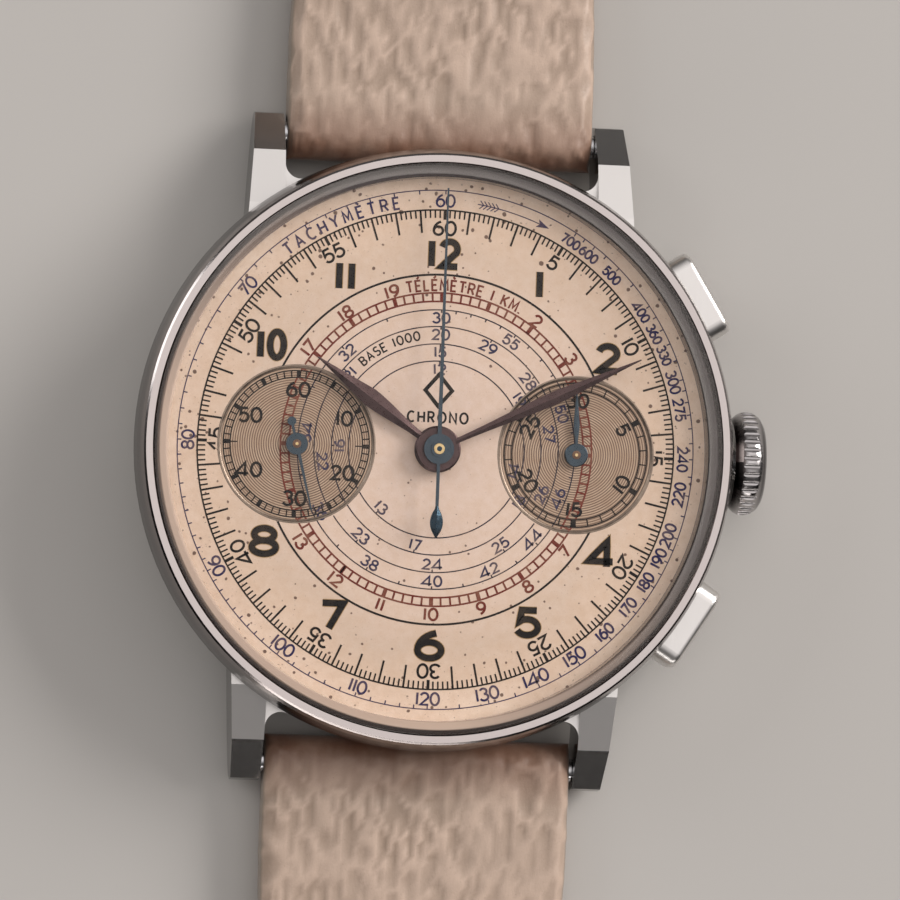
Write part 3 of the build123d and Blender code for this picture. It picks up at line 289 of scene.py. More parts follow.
def steel_material(name, tint, roughness, wear=0.06, brushed=0.0, shade_and_grime_inside=0.0, flank_shade=0.0):
    """Stainless steel with fine scratches; the brushed kind is rougher on faces that look up.
    Inside the given radius, in millimetres, old grime and painted shade darken it."""
    n = Nodes(name)
    smear = n.noise(0.35, 4)
    scratches = n.noise(6.0, 2, vector=n.stretch((1.0, 0.12, 1.0)))
    tone = n.span(smear, 0.3, 0.7, 0.92, 1.0)
    metal = n.mix(tone, darker(tint, 0.8), tint)
    # Upright flanks are darkened: painted shade, for the dark room they would mirror.
    upward = n.steepness("Z")
    metal = n.mix(n.span(upward, 0.45, 0.12, 0.0, flank_shade), metal, darker(tint, 0.13))
    # Painted shade with old grime: darker inside the given radius, at the bezel's inner edge.
    if shade_and_grime_inside:
        grime_and_shade = n.span(n.flat_radius(), shade_and_grime_inside, shade_and_grime_inside - 0.06)
        metal = n.mix(grime_and_shade, metal, srgb(70, 58, 54))
    n.set(Base_Color=metal, Metallic=1.0)
    rough = n.scaled(scratches, wear, roughness - wear / 2)
    if brushed:
        rough = n.scaled(n.span(upward, 0.85, 0.93), brushed, rough)
    n.set(Roughness=rough)
    n.bump(n.noise(2.2, 4, vector=n.stretch((1.0, 0.25, 1.0))), 0.06, 0.02)
    return n.material


def crown_material():
    """Polished steel with old grime and painted shade between the flutes."""
    n = Nodes("crown_steel")
    x, y, z = n.split()
    drop = n.less(z, CROWN_HEIGHT)
    reach = n.length(y, drop)
    # Darker deep between the flutes, less at the outer end: old grime and painted shade.
    grime_and_shade = n.span(reach, CROWN_RADIUS - 0.06, CROWN_RADIUS - 0.42)
    rim = n.span(x, CROWN_END - 0.35, CROWN_END - 0.15, 1.0, 0.15)
    near = n.span(reach, CROWN_RADIUS - 1.3, CROWN_RADIUS - 1.1)
    steel = n.mix(n.noise(1.2, 3), (0.42, 0.40, 0.40), (0.62, 0.60, 0.60))
    n.set(Base_Color=n.mix(n.times(grime_and_shade, rim, near), steel, srgb(40, 34, 34)))
    n.set(Metallic=1.0, Roughness=n.span(n.noise(5.0, 2), 0.3, 0.7, 0.14, 0.24))
    return n.material


def plain_metal(name, tint, roughness, grain=1.5):
    """Metal with soft blotches in its colour and gloss."""
    n = Nodes(name)
    blotch = n.noise(grain, 4)
    n.set(Base_Color=n.mix(n.span(blotch, 0.35, 0.65), darker(tint, 0.78), tint))
    n.set(Metallic=1.0, Roughness=n.span(blotch, 0.3, 0.7, roughness * 0.8, roughness * 1.25))
    n.bump(n.noise(9.0, 3), 0.05, 0.01)
    return n.material


def ink_material(name, colour, rub):
    """Old pad print: matt, a little worn and uneven."""
    n = Nodes(name)
    patch = n.noise(1.1, 5, 0.65)
    faded = tuple(c + (f - c) * rub for c, f in zip(colour, srgb(205, 175, 145)))
    n.set(Base_Color=n.mix(n.span(patch, 0.42, 0.72), colour, faded), Roughness=0.6)
    n.set(Specular_IOR_Level=0.25)
    return n.material


def dial_material():
    """Aged cream lacquer with a warm rim, lighter towards the edge as painted light, specks, and turned
    rings in the registers.
    """
    n = Nodes("aged_dial")
    x, y, _ = n.split()
    radius = n.flat_radius()
    cloud = n.noise(0.16, 4)
    wobble = n.scaled(n.less(cloud, 0.5), 5.0, radius)
    # Painted light: the cream grows lighter towards the rim to make up for the bezel's shade.
    tone_and_rim_light = n.ramp(n.span(wobble, 0, DIAL_RADIUS), [
        (0.0, srgb(234, 211, 199)), (0.55, srgb(233, 209, 194)), (0.72, srgb(226, 203, 186)),
        (0.84, srgb(236, 210, 190)), (0.93, srgb(246, 222, 204)), (1.0, srgb(252, 230, 212))])
    mottled = n.mix(n.span(n.noise(1.6, 6, 0.7), 0.35, 0.72, 0, 0.35), tone_and_rim_light, srgb(208, 172, 138))
    # Specks grow denser towards the rim.
    rim = n.span(wobble, 7.0, DIAL_RADIUS)
    grain = n.noise(5.5, 3, 0.6)
    limit = n.scaled(rim, -0.075, 0.745)
    spot = n.span(n.less(grain, limit), 0.0, 0.035)
    specked = n.mix(n.times(spot, 0.75), mottled, srgb(112, 80, 62))
    dots = n.cells(1.5)
    size = n.scaled(n.noise(0.8, 3, 0.6), 0.62, n.scaled(rim, 0.10, -0.27))
    dot = n.span(n.less(dots, size), 0.03, -0.02, 0.0, 0.85)
    specked = n.mix(dot, specked, srgb(84, 54, 44))
    fine = n.span(n.noise(13.0, 2, 0.5), 0.66, 0.74, 0, 0.5)
    specked = n.mix(fine, specked, srgb(150, 112, 86))
    # Registers: a darker ground with fine turned rings.
    away = n.less(n.math("ABSOLUTE", x), REGISTER_X)
    reach = n.length(away, y)
    inside = n.span(reach, REGISTER_RADIUS + 0.02, REGISTER_RADIUS - 0.04)
    rings = n.math("SINE", n.times(reach, 2 * math.pi / TURNED_PITCH))
    turned = n.mix(n.span(rings, -0.8, 0.8), srgb(112, 90, 76), srgb(204, 178, 156))
    turned = n.mix(n.span(n.noise(1.2, 4), 0.35, 0.7, 0, 0.4), turned, srgb(150, 120, 98))
    # Painted shade: the dial is dark beyond the crystal's inner edge, under its foot.
    shade_under_foot = n.span(radius, CRYSTAL_INNER + 0.02, CRYSTAL_INNER + 0.12)
    n.set(Base_Color=n.mix(shade_under_foot, n.mix(inside, specked, turned), srgb(74, 62, 58)))
    n.set(Roughness=n.span(grain, 0.3, 0.7, 0.42, 0.58), Specular_IOR_Level=0.35)
    groove = n.times(rings, inside, 0.5)
    n.bump(n.scaled(n.noise(8.0, 4), 0.35, groove), 0.35, 0.02)
    return n.material


def crystal_material():
    """Clear acrylic that mirrors at a glancing angle. Its thick wall is grey to warm, a painted
    reflection, and dark at the outer edge, painted shade."""
    n = Nodes("acrylic")
    clear = n.new("BsdfTransparent", Color=(0.985, 0.98, 0.97, 1))
    gloss = n.new("BsdfGlossy", Roughness=0.03, Color=(1, 1, 1, 1))
    glance = n.new("Fresnel", IOR=1.27)
    entering = n.less(1.0, n.new("NewGeometry").outputs["Backfacing"])
    mirror = n.times(glance.outputs[0], entering)
    reach = n.flat_radius()
    # Painted shade: the wall is painted dark beyond its outer edge.
    outer = n.span(reach, WALL_SHADE_EDGE - 0.05, WALL_SHADE_EDGE + 0.05)
    x, y, _ = n.split()
    # Painted reflection: the thick wall is painted in the dial's warm colour, and made more opaque, on
    # the side that faces the light.
    warm = n.span(n.math("ADD", x, y), 10.0, -16.0)
    band = n.mix(warm, srgb(96, 86, 86), srgb(240, 212, 192))
    n.set(Base_Color=n.mix(outer, band, srgb(52, 42, 40)), Roughness=0.22)
    thick = n.span(warm, 0.0, 1.0, 0.28, 0.60)
    wall = n.times(n.span(reach, CRYSTAL_INNER - 0.06, CRYSTAL_INNER + 0.04), thick)
    blend = n.new("MixShader")
    whole = n.new("MixShader")
    for mixer, parts in ((blend, (mirror, clear.outputs[0], gloss.outputs[0])),
                         (whole, (wall, blend.outputs[0], n.shader.outputs[0]))):
        for socket, source in zip(mixer.inputs, parts):
            n.tree.links.new(source, socket)
    n.tree.links.new(whole.outputs[0], n.tree.nodes["Material Output"].inputs["Surface"])
    return n.material


def leather_material():
    """Beige leather: pale ridges, grey-brown dimples, and painted shade, darker and browner, where it
    turns round the bar.
    """
    n = Nodes("beige_leather")
    kept = n.new("Attribute")
    kept.attribute_name = "pit"
    pores = n.noise(7.0, 4, 0.6)
    pit = n.scaled(n.less(pores, 0.5), 0.35, kept.outputs["Fac"])
    base = n.ramp(pit, [(0.0, srgb(200, 176, 158)), (0.30, srgb(187, 164, 147)),
                        (0.65, srgb(174, 152, 135)), (1.0, srgb(160, 139, 122))])
    base = n.mix(n.span(n.noise(0.22, 3), 0.38, 0.66, 0, 0.45), base, srgb(174, 153, 137))
    # Painted shade: darker and browner near the lugs, where the strap turns round the bar.
    turned = n.span(n.math("ABSOLUTE", n.split()["Y"]), 22.4, 18.9)
    turned = n.times(turned, n.span(n.noise(0.45, 4), 0.3, 0.7, 0.7, 1.0))
    base = n.mix(turned, base, srgb(118, 80, 60))
    base = n.mix(n.span(n.noise(11.0, 2), 0.66, 0.8, 0, 0.5), base, srgb(110, 82, 66))
    # The cut side edges are greener and duller.
    base = n.mix(n.span(n.steepness("X"), 0.80, 0.98, 0.0, 0.6), base, srgb(112, 104, 90))
    n.set(Base_Color=base, Roughness=n.span(pores, 0.3, 0.7, 0.38, 0.55))
    n.set(Specular_IOR_Level=0.45, Sheen_Weight=0.12)
    creases = n.noise(1.4, 4, 0.6, vector=n.stretch((1.0, 0.4, 1.0)))
    n.bump(n.scaled(pores, 0.25, n.times(creases, 0.8)), 0.5, 0.10)
    return n.material


POLISHED = steel_material("polished_steel", (0.80, 0.78, 0.76), 0.13)
# The bezel is the case's steel in a darker, pinker tint: painted shade.
SHADED_BEZEL_STEEL = steel_material("bezel_steel_shaded", (0.54, 0.49, 0.475), 0.18, shade_and_grime_inside=18.02,
                              flank_shade=0.85)
CASE_STEEL = steel_material("case_steel", (0.77, 0.75, 0.73), 0.14, brushed=0.22, flank_shade=0.85)
SATIN = steel_material("satin_steel", (0.74, 0.72, 0.70), 0.30, wear=0.12)
BRASS = plain_metal("gilt_brass", (0.80, 0.60, 0.32), 0.28)
INNER_STEEL = plain_metal("movement_steel", (0.66, 0.66, 0.68), 0.22)
DARK_HAND = plain_metal("oxidised_hand", (0.115, 0.075, 0.076), 0.38, 2.5)
BLUED = plain_metal("blued_steel", (0.075, 0.10, 0.125), 0.36, 2.5)
DEEP_BLUE = plain_metal("deep_blued_steel", (0.035, 0.06, 0.085), 0.30, 2.5)
PIPE = plain_metal("dark_pipe", (0.20, 0.12, 0.085), 0.35, 2.5)
REGISTER_EDGE = plain_metal("register_edge", (0.34, 0.27, 0.22), 0.42, 2.5)
CROWN = crown_material()
CRYSTAL = crystal_material()
DIAL = dial_material()
LEATHER = leather_material()
INK_BLACK = ink_material("black_print", srgb(20, 16, 17), 0.06)
INK_VIOLET = ink_material("violet_print", srgb(44, 40, 88), 0.28)
INK_RED = ink_material("red_print", srgb(112, 42, 32), 0.20)
INK_SLATE = ink_material("slate_print", srgb(50, 48, 80), 0.26)
INK_NAVY = ink_material("navy_print", srgb(28, 26, 48), 0.22)
INK_HALO = ink_material("numeral_halo", srgb(168, 136, 92), 0.55)


# ---- the print's letters ----
def curve(cx, cy, rx, ry, start, end):
    """Points on an ellipse between two angles in degrees."""
    steps = max(4, int(abs(end - start) / 12))
    angles = [math.radians(start + (end - start) * k / steps) for k in range(steps + 1)]
    return [(cx + rx * math.cos(a), cy + ry * math.sin(a)) for a in angles]


# Each glyph is its width and its strokes, in units of its own height.
GLYPHS = {
    "0": (0.62, [curve(0.31, 0.5, 0.31, 0.5, 0, 360)]),
    "1": (0.16, [[(0.08, 0.99), (0.08, 0.01)]]),
    "2": (0.60, [curve(0.30, 0.70, 0.28, 0.29, 165, -30) + [(0.02, 0.02), (0.60, 0.02)]]),
    "3": (0.58, [curve(0.27, 0.75, 0.25, 0.24, 155, -85), curve(0.27, 0.27, 0.30, 0.27, 88, -160)]),
    "4": (0.80, [[(0.60, 0), (0.60, 0.98), (0, 0.20), (0.80, 0.20)]]),
    "5": (0.58, [[(0.53, 0.98), (0.13, 0.98), (0.07, 0.52)] + curve(0.28, 0.32, 0.29, 0.31, 118, -155)]),
    "6": (0.60, [curve(0.30, 0.31, 0.29, 0.31, 0, 360), curve(0.60, 0.31, 0.59, 0.69, 180, 104)]),
    "7": (0.56, [[(0, 0.98), (0.54, 0.98), (0.18, 0)]]),
    "8": (0.60, [curve(0.30, 0.75, 0.24, 0.24, 0, 360), curve(0.30, 0.26, 0.29, 0.26, 0, 360)]),
    "9": (0.60, [curve(0.30, 0.69, 0.29, 0.31, 0, 360), curve(0, 0.69, 0.59, 0.69, 0, -76)]),
    "A": (0.66, [[(0, 0), (0.33, 1), (0.66, 0)], [(0.12, 0.33), (0.54, 0.33)]]),
    "B": (0.54, [[(0, 0), (0, 1), (0.28, 1)] + curve(0.28, 0.76, 0.22, 0.24, 90, -90)
                 + [(0, 0.52)], curve(0.28, 0.26, 0.26, 0.26, 90, -90) + [(0, 0)]]),
    "C": (0.62, [curve(0.36, 0.5, 0.36, 0.5, 50, 310)]),
    "E": (0.48, [[(0.48, 1), (0, 1), (0, 0), (0.48, 0)], [(0, 0.52), (0.40, 0.52)]]),
    "H": (0.58, [[(0, 0), (0, 1)], [(0.58, 0), (0.58, 1)], [(0, 0.5), (0.58, 0.5)]]),
    "K": (0.56, [[(0, 0), (0, 1)], [(0.54, 1), (0, 0.42)], [(0.16, 0.58), (0.56, 0)]]),
    "L": (0.46, [[(0, 1), (0, 0), (0.46, 0)]]),
    "M": (0.72, [[(0, 0), (0.06, 1), (0.36, 0.25), (0.66, 1), (0.72, 0)]]),
    "N": (0.60, [[(0, 0), (0, 1), (0.60, 0), (0.60, 1)]]),
    "O": (0.74, [curve(0.37, 0.5, 0.37, 0.5, 0, 360)]),
    "R": (0.56, [[(0, 0), (0, 1), (0.28, 1)] + curve(0.28, 0.74, 0.24, 0.26, 90, -90)
                 + [(0, 0.48)], [(0.26, 0.48), (0.56, 0)]]),
    "S": (0.54, [curve(0.27, 0.75, 0.25, 0.25, 40, 255) + curve(0.27, 0.26, 0.27, 0.26, 80, -145)]),
    "T": (0.58, [[(0, 1), (0.58, 1)], [(0.29, 1), (0.29, 0)]]),
    "Y": (0.62, [[(0, 1), (0.31, 0.5), (0.31, 0)], [(0.62, 1), (0.31, 0.5)]]),
    ".": (0.10, [[(0.05, 0), (0.05, 0.14)]]),
    " ": (0.30, []),
}
GLYPHS["È"] = (0.48, GLYPHS["E"][1] + [[(0.12, 1.36), (0.32, 1.16)]])
GLYPHS["É"] = (0.48, GLYPHS["E"][1] + [[(0.36, 1.36), (0.16, 1.16)]])


class Print:
    """Flat ink on the dial: ribbons along strokes, laid into the registers where it meets them."""

    def __init__(self, name, material, lift, clipped):
        self.name = name
        self.material = material
        self.lift = lift
        self.clipped = clipped
        self.verts = []
        self.faces = []
        self.strokes = 0

    def height(self, x, y):
        """The ink's height at a point, lower where it lies in a register."""
        sunk = RECESS if register_distance(x, y) < REGISTER_RADIUS else 0.0
        return DIAL_TOP - sunk + self.lift + STROKE_STEP * (self.strokes % STROKE_LEVELS)

    def ribbon(self, points, width, closed=False):
        """A band of even width along points, with mitred corners. No two strokes lie quite level."""
        self.strokes += 1
        points = [p for k, p in enumerate(points) if k == 0 or math.dist(p, points[k - 1]) > 1e-5]
        if closed and math.dist(points[0], points[-1]) < 1e-4:
            points = points[:-1]
        count = len(points)
        sides = []
        for k, (x, y) in enumerate(points):
            before = points[k - 1] if closed or k else None
            after = points[(k + 1) % count] if closed or k < count - 1 else None
            ways = []
            for a, b in ((before, (x, y)), ((x, y), after)):
                if a is not None and b is not None:
                    reach = math.dist(a, b)
                    ways.append(((b[0] - a[0]) / reach, (b[1] - a[1]) / reach))
            normal_x = -sum(w[1] for w in ways)
            normal_y = sum(w[0] for w in ways)
            size = math.hypot(normal_x, normal_y) or 1.0
            normal_x /= size
            normal_y /= size
            lean = abs(-ways[0][1] * normal_x + ways[0][0] * normal_y)
            half = width / 2 / max(lean, 0.45)
            sides.append(((x + normal_x * half, y + normal_y * half),
                          (x - normal_x * half, y - normal_y * half)))
        for k in range(count if closed else count - 1):
            a, b = sides[k]
            d, c = sides[(k + 1) % count]
            self.quad(a, b, c, d)

    def quad(self, *corners):
        """One face, left out where a clipped layer would run into a register."""
        middle_x = sum(c[0] for c in corners) / len(corners)
        middle_y = sum(c[1] for c in corners) / len(corners)
        if self.clipped and register_distance(middle_x, middle_y) < REGISTER_RADIUS + 0.05:
            return
        first = len(self.verts)
        self.verts += [(x, y, self.height(x, y)) for x, y in corners]
        self.faces.append(tuple(range(first, first + len(corners))))

    def ring(self, radius, width, centre=AXIS, start=0.0, end=360.0):
        steps = max(8, int(radius * abs(end - start) / 360 * 32))
        angles = [start + (end - start) * k / steps for k in range(steps + 1)]
        points = [moved(clock(radius, angle), centre) for angle in angles]
        self.ribbon(points, width, closed=abs(end - start) >= 360)

    def tick(self, angle, inner, outer, width, centre=AXIS):
        low = moved(clock(inner, angle), centre)
        high = moved(clock(outer, angle), centre)
        pieces = max(1, int((outer - inner) / 0.25))
        self.ribbon([between(low, high, k / pieces) for k in range(pieces + 1)], width)

    def block(self, angle, spread, inner, outer, centre=AXIS):
        """A filled cell of a railroad track."""
        self.strokes += 1
        steps = 3
        for k in range(steps):
            a = angle - spread / 2 + spread * k / steps
            b = angle - spread / 2 + spread * (k + 1) / steps
            corners = (clock(inner, a), clock(outer, a), clock(outer, b), clock(inner, b))
            self.quad(*[moved(corner, centre) for corner in corners])

    def glyphs(self, text, height, weight, place, gap=0.2, wide=1.0):
        """Draws text or a number with its middle at the origin of place, a map to the dial."""
        text = str(text)
        widths = [GLYPHS[letter][0] * height * wide for letter in text]
        total = sum(widths) + gap * height * (len(text) - 1)
        cursor = -total / 2
        for letter, width in zip(text, widths):
            for stroke in GLYPHS[letter][1]:
                points = [(cursor + x * height * wide, (y - 0.5) * height) for x, y in stroke]
                closed = math.dist(points[0], points[-1]) < 1e-4
                split = []
                for a, b in zip(points[:-1], points[1:]):
                    pieces = max(1, int(math.dist(a, b) / 0.3)) if self.clipped else 1
                    split += [between(a, b, k / pieces) for k in range(pieces)]
                split.append(points[-1])
                self.ribbon([place(x, y) for x, y in split], weight, closed)
            cursor += width + gap * height

    def upright(self, text, x, y, height, weight, gap=0.2, wide=1.0):
        self.glyphs(text, height, weight, lambda u, v: (x + u, y + v), gap, wide)

    def around(self, text, radius, angle, height, weight, outward=True, centre=AXIS, gap=0.2,
               wide=1.2):
        """Text bent round a circle, with its tops away from the centre or towards it."""
        def place(u, v):
            way = 1 if outward else -1
            return moved(clock(radius + way * v, angle + way * math.degrees(u / radius)), centre)
        self.glyphs(text, height, weight, place, gap, wide)

    def build(self):
        """Makes the mesh, with every face looking up."""
        made = new_object(self.name, self.verts, self.faces, self.material)
        mesh = bmesh.new()
        mesh.from_mesh(made.data)
        for face in mesh.faces:
            if face.normal.z < 0:
                face.normal_flip()
        mesh.to_mesh(made.data)
        mesh.free()
        fit(made, "case", "dial_paint")


# ---- the dial's print ----
# How broad each printed hour is drawn; 3 and 9 have the registers in their place.
HOURS = {12: 1.06, 1: 1.16, 2: 1.28, 4: 1.20, 5: 1.46, 6: 1.60, 7: 1.50, 8: 1.60, 10: 0.86, 11: 1.14}
HOUR_RADIUS = 12.33
HOUR_HEIGHT = 1.62
HOUR_WEIGHT = 0.41
HALO_WIDER = 0.09

# The circles of each scale: its lines, and the middle of its figures.
HOUR_CIRCLE = 11.02
SECONDS_EDGE = 15.1
SECONDS_TEXT = 13.96
SPEED_EDGE = 16.35
SPEED_TEXT = 15.7
RIM_CIRCLE = 17.12
DISTANCE_INNER = 9.33
DISTANCE_OUTER = 9.87
DISTANCE_TEXT = 10.36
SECONDS_INNER = 4.18
SECONDS_FIGURES = 3.42
MINUTES_FIGURES = 3.45
SECONDS_IN_HOUR = 3600


def print_hours(ink, weight):
    """The big hour numerals, upright."""
    for hour, wide in HOURS.items():
        x, y = clock(HOUR_RADIUS, hour * 30)
        ink.upright(hour, x, y, HOUR_HEIGHT, weight, gap=0.30, wide=wide)


def print_seconds_track(ink):
    """Seconds in fifths, with a long mark at each second and a broad one outside each figure."""
    ink.ring(SECONDS_EDGE, 0.10)
    for fifth in range(300):
        if fifth % 25 == 0:
            length, width = 0.60, 0.19
        elif fifth % 5 == 0:
            length, width = 1.42, 0.125
        else:
            length, width = 0.50, 0.10
        ink.tick(fifth * 1.2, SECONDS_EDGE - length, SECONDS_EDGE, width)
    for second in range(5, 65, 5):
        ink.around(second, SECONDS_TEXT, second * 6, 0.84, 0.155, gap=0.20)
    ink.ring(HOUR_CIRCLE, 0.13)


def speed_angle(speed):
    """Where the seconds hand points after one kilometre at a speed in km/h."""
    return 6 * SECONDS_IN_HOUR / speed


def tachymeter_speeds():
    """The marked speeds, closer together where the scale has room."""
    speed = 60
    for limit, step in ((100, 1), (120, 2), (200, 5), (300, 10), (400, 20), (701, 50)):
        while speed < limit:
            yield speed
            speed += step


TACHYMETER_OUT = (60, 700, 600, 500, 400, 360, 330, 300, 275, 240, 80, 70)
TACHYMETER_IN = (220, 200, 190, 180, 170, 160, 150, 140, 130, 120, 110, 100, 90)


def print_tachymeter(ink):
    """Speeds over one kilometre, outside the seconds, with an arrow and the rim circle."""
    ink.ring(SPEED_EDGE, 0.065)
    for speed in tachymeter_speeds():
        ink.tick(speed_angle(speed) % 360, SPEED_EDGE - 0.25, SPEED_EDGE, 0.075)
    for speed in TACHYMETER_OUT:
        height = 0.56 if speed >= 330 else 0.64 if speed >= 240 else 0.74
        wide = 1.0 if speed >= 240 else 1.12
        ink.around(speed, SPEED_TEXT, speed_angle(speed) % 360, height, 0.13, gap=0.18, wide=wide)
    for speed in TACHYMETER_IN:
        height, wide = (0.76, 1.12) if speed <= 150 else (0.67, 0.98)
        ink.around(speed, SPEED_TEXT, speed_angle(speed), height, 0.14, outward=False, gap=0.18,
                   wide=wide)
    ink.around("TACHYMÈTRE", SPEED_TEXT, 334.8, 0.72, 0.13, gap=0.56, wide=1.0)
    # The feathered arrow from 60 towards 700.
    ink.ring(SPEED_TEXT, 0.06, start=7.5, end=22.5)
    for barb in range(5):
        stem = 8.0 + barb * 0.9
        for side in (-0.26, 0.26):
            ink.ribbon([clock(SPEED_TEXT, stem + 0.9), clock(SPEED_TEXT + side, stem)], 0.06)
    ink.quad(clock(SPEED_TEXT + 0.26, 22.0), clock(SPEED_TEXT, 25.0), clock(SPEED_TEXT - 0.26, 22.0),
             clock(SPEED_TEXT, 22.6))
    ink.ring(RIM_CIRCLE, 0.05)


TELEMETER_OUT = (2, 3, 17, 18, 19)
TELEMETER_IN = (7, 8, 9, 10, 11, 12, 13)


def print_telemeter(ink):
    """Kilometres as a railroad track: sound covers one in three seconds, or 18 degrees."""
    ink.ring(DISTANCE_INNER, 0.11)
    ink.ring(DISTANCE_OUTER, 0.11)
    for cell in range(100):
        ink.tick(cell * 3.6, DISTANCE_INNER, DISTANCE_OUTER, 0.12)
    for kilometre in range(20):
        ink.block(kilometre * 18, 1.5, DISTANCE_INNER, DISTANCE_OUTER)
    for kilometre in TELEMETER_OUT:
        ink.around(kilometre, DISTANCE_TEXT - 0.04, kilometre * 18, 0.72, 0.15, gap=0.26)
    for kilometre in TELEMETER_IN:
        ink.around(kilometre, DISTANCE_TEXT + 0.02, kilometre * 18, 0.72, 0.15, outward=False,
                   gap=0.26)
    ink.around("TÉLÉMÈTRE 1 KM.", DISTANCE_TEXT, 8.2, 0.66, 0.125, gap=0.32, wide=1.0)


# The snail: each turn of the low-speed scale is a ring, with its labelled speeds.
SNAIL = (
    (8.80, 1, (30, 55, 50, 46, 44, 42, 40, 38, 36, 34, 32)),
    (7.75, 2, (20, 29, 28, 27, 26, 25, 24, 23, 22, 21)),
    (6.65, 3, (15, 19, 18, 17, 16)),
    (5.57, 4, (12, 14, 13)),
)


def print_snail(lines, labels, black):
    """The low speeds, turn by turn inwards; figures in the lower part have their tops inwards."""
    for radius, turn, speeds in SNAIL:
        lines.ring(radius, 0.075)
        for speed in range(12, 61):
            angle = speed_angle(speed) - 360 * turn
            if 0 <= angle < 360:
                lines.tick(angle, radius - 0.19, radius, 0.085)
        for speed in speeds:
            angle = speed_angle(speed) % 360
            labels.around(speed, radius - 0.50, angle, 0.62, 0.125, gap=0.26,
                          outward=not 100 < angle < 262)
    black.around("BASE 1000", 7.24, 333.0, 0.54, 0.10, gap=0.34, wide=1.08)


def print_registers(ink, cells):
    """Running seconds on the left and a 30-minute counter on the right."""
    for centre, inner, outer, marks, cell in ((LEFT_AXIS, SECONDS_INNER, 4.6, 60, 3.4),
                                              (RIGHT_AXIS, 4.08, 4.55, 30, 4.4)):
        ink.ring(inner, 0.075, centre)
        ink.ring(outer, 0.075, centre)
        for mark in range(marks):
            ink.tick(mark * 360 / marks, inner, outer, 0.075, centre)
        for five in range(marks // 5):
            cells.block(five * 5 * 360 / marks, cell, inner, outer, centre)
    for second in (10, 20, 30, 40, 50, 60):
        x, y = moved(clock(SECONDS_FIGURES, second * 6), LEFT_AXIS)
        ink.upright(second, x, y, 0.86, 0.165, gap=0.22, wide=1.15)
    for second in (15, 45):
        ink.tick(second * 6, SECONDS_INNER - 0.46, SECONDS_INNER, 0.07, LEFT_AXIS)
    for minute in (30, 5, 25, 10, 15, 20):
        ink.around(minute, MINUTES_FIGURES, minute * 12, 0.82, 0.165,
                   outward=minute not in (10, 15, 20), centre=RIGHT_AXIS, gap=0.22)


def print_ornament(ink):
    """A plain lozenge and a plain word above the hands."""
    x, y = 0.0, 3.72
    lozenge = [(x, y + 1.0), (x + 0.85, y), (x, y - 1.0), (x - 0.85, y)]
    ink.ribbon(lozenge, 0.24, closed=True)
    ink.upright("CHRONO", 0.0, 2.02, 0.64, 0.13, gap=0.42)


# Name, ink, how far it stands above the dial, and whether it stops at the registers.
# Layers that cross lie at different heights, so that none flickers.
LAYERS = (
    ("hour_numeral_halo", INK_HALO, 0.006, True),
    ("black_scale_print", INK_BLACK, PRINT_LIFT, True),
    ("register_print", INK_BLACK, 0.016, False),
    ("register_cells", INK_BLACK, 0.021, False),
    ("tachymeter_print", INK_VIOLET, PRINT_LIFT, False),
    ("telemeter_print", INK_RED, 0.010, False),
    ("snail_lines", INK_NAVY, 0.008, False),
    ("snail_numbers", INK_SLATE, 0.009, False),
    ("base_print", INK_BLACK, 0.009, False),
)


def print_dial():
    layers = [Print(*layer) for layer in LAYERS]
    halo, black, registers, cells, violet, red, lines, labels, base = layers
    print_hours(halo, HOUR_WEIGHT + HALO_WIDER)
    print_hours(black, HOUR_WEIGHT)
    print_seconds_track(black)
    print_registers(registers, cells)
    print_tachymeter(violet)
    print_telemeter(red)
    print_snail(lines, labels, base)
    print_ornament(base)
    for layer in layers:
        layer.build()


print_dial()

# ---- hands and register rings ----
def lathe(name, profile, centre, material, segments=96):
    """A closed ring turned from a profile of (radius, height) points, in order round the section."""
    verts = []
    for k in range(segments):
        turn = 2 * math.pi * k / segments
        for radius, z in profile:
            verts.append((centre[0] + radius * math.cos(turn), centre[1] + radius * math.sin(turn), z))
    faces = ring_faces(segments, len(profile), closed=True, turned=True)
    made = new_object(name, verts, faces, material, smooth=True)
    made.data.set_sharp_from_angle(angle=math.radians(28))
    return made


def hub_profile(inner, outer, low, high):
    """A hub ring's section, with a small bevel round its top edge."""
    return [(inner, low), (outer, low), (outer, high - 0.04), (outer - 0.06, high), (inner, high)]


HAND_THICK = 0.14


def blade(name, centre, angle, low, stations, ridge, material):
    """A pointed hand with two long facets that meet in a ridge; stations are (distance, half width)."""
    turn = math.radians(angle)
    verts = []
    for y, half in stations:
        peak = low + HAND_THICK + ridge * min(1.0, half / 0.3)
        section = ((-half, low), (-half, low + HAND_THICK), (0, peak), (half, low + HAND_THICK),
                   (half, low))
        for x, z in section:
            verts.append((centre[0] + x * math.cos(turn) + y * math.sin(turn),
                          centre[1] - x * math.sin(turn) + y * math.cos(turn), z))
    faces = ring_faces(len(stations), len(section), turned=True)
    faces.append(tuple(range(len(section))))
    faces.append(tuple(len(verts) - k for k in range(1, len(section) + 1)))
    return new_object(name, verts, faces, material)


def leaf_stations(start, length, root, widest, place, tip=0.04):
    """Half widths along a leaf hand: a narrow neck that swells to its widest and runs to a point.
    Place says where it is widest, as a share of its length."""
    stations = []
    broadest = length * place
    for step in range(25):
        y = start + (length - start) * step / 24
        share = (y - start) / (broadest - start)
        if share < 1:
            half = root + (widest - root) * (3 * share ** 2 - 2 * share ** 3)
        else:
            past = (y - broadest) / (length * (1 - place))
            half = tip + (widest - tip) * (1 - past) ** 1.08
        stations.append((y, half))
    return stations


HOUR_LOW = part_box("hour_hand")[0].z / MM
MINUTE_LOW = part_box("minute_hand")[0].z / MM
CHRONO_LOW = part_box("chronograph_hand")[0].z / MM
COUNTER_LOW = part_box("minute_counter_hand")[0].z / MM
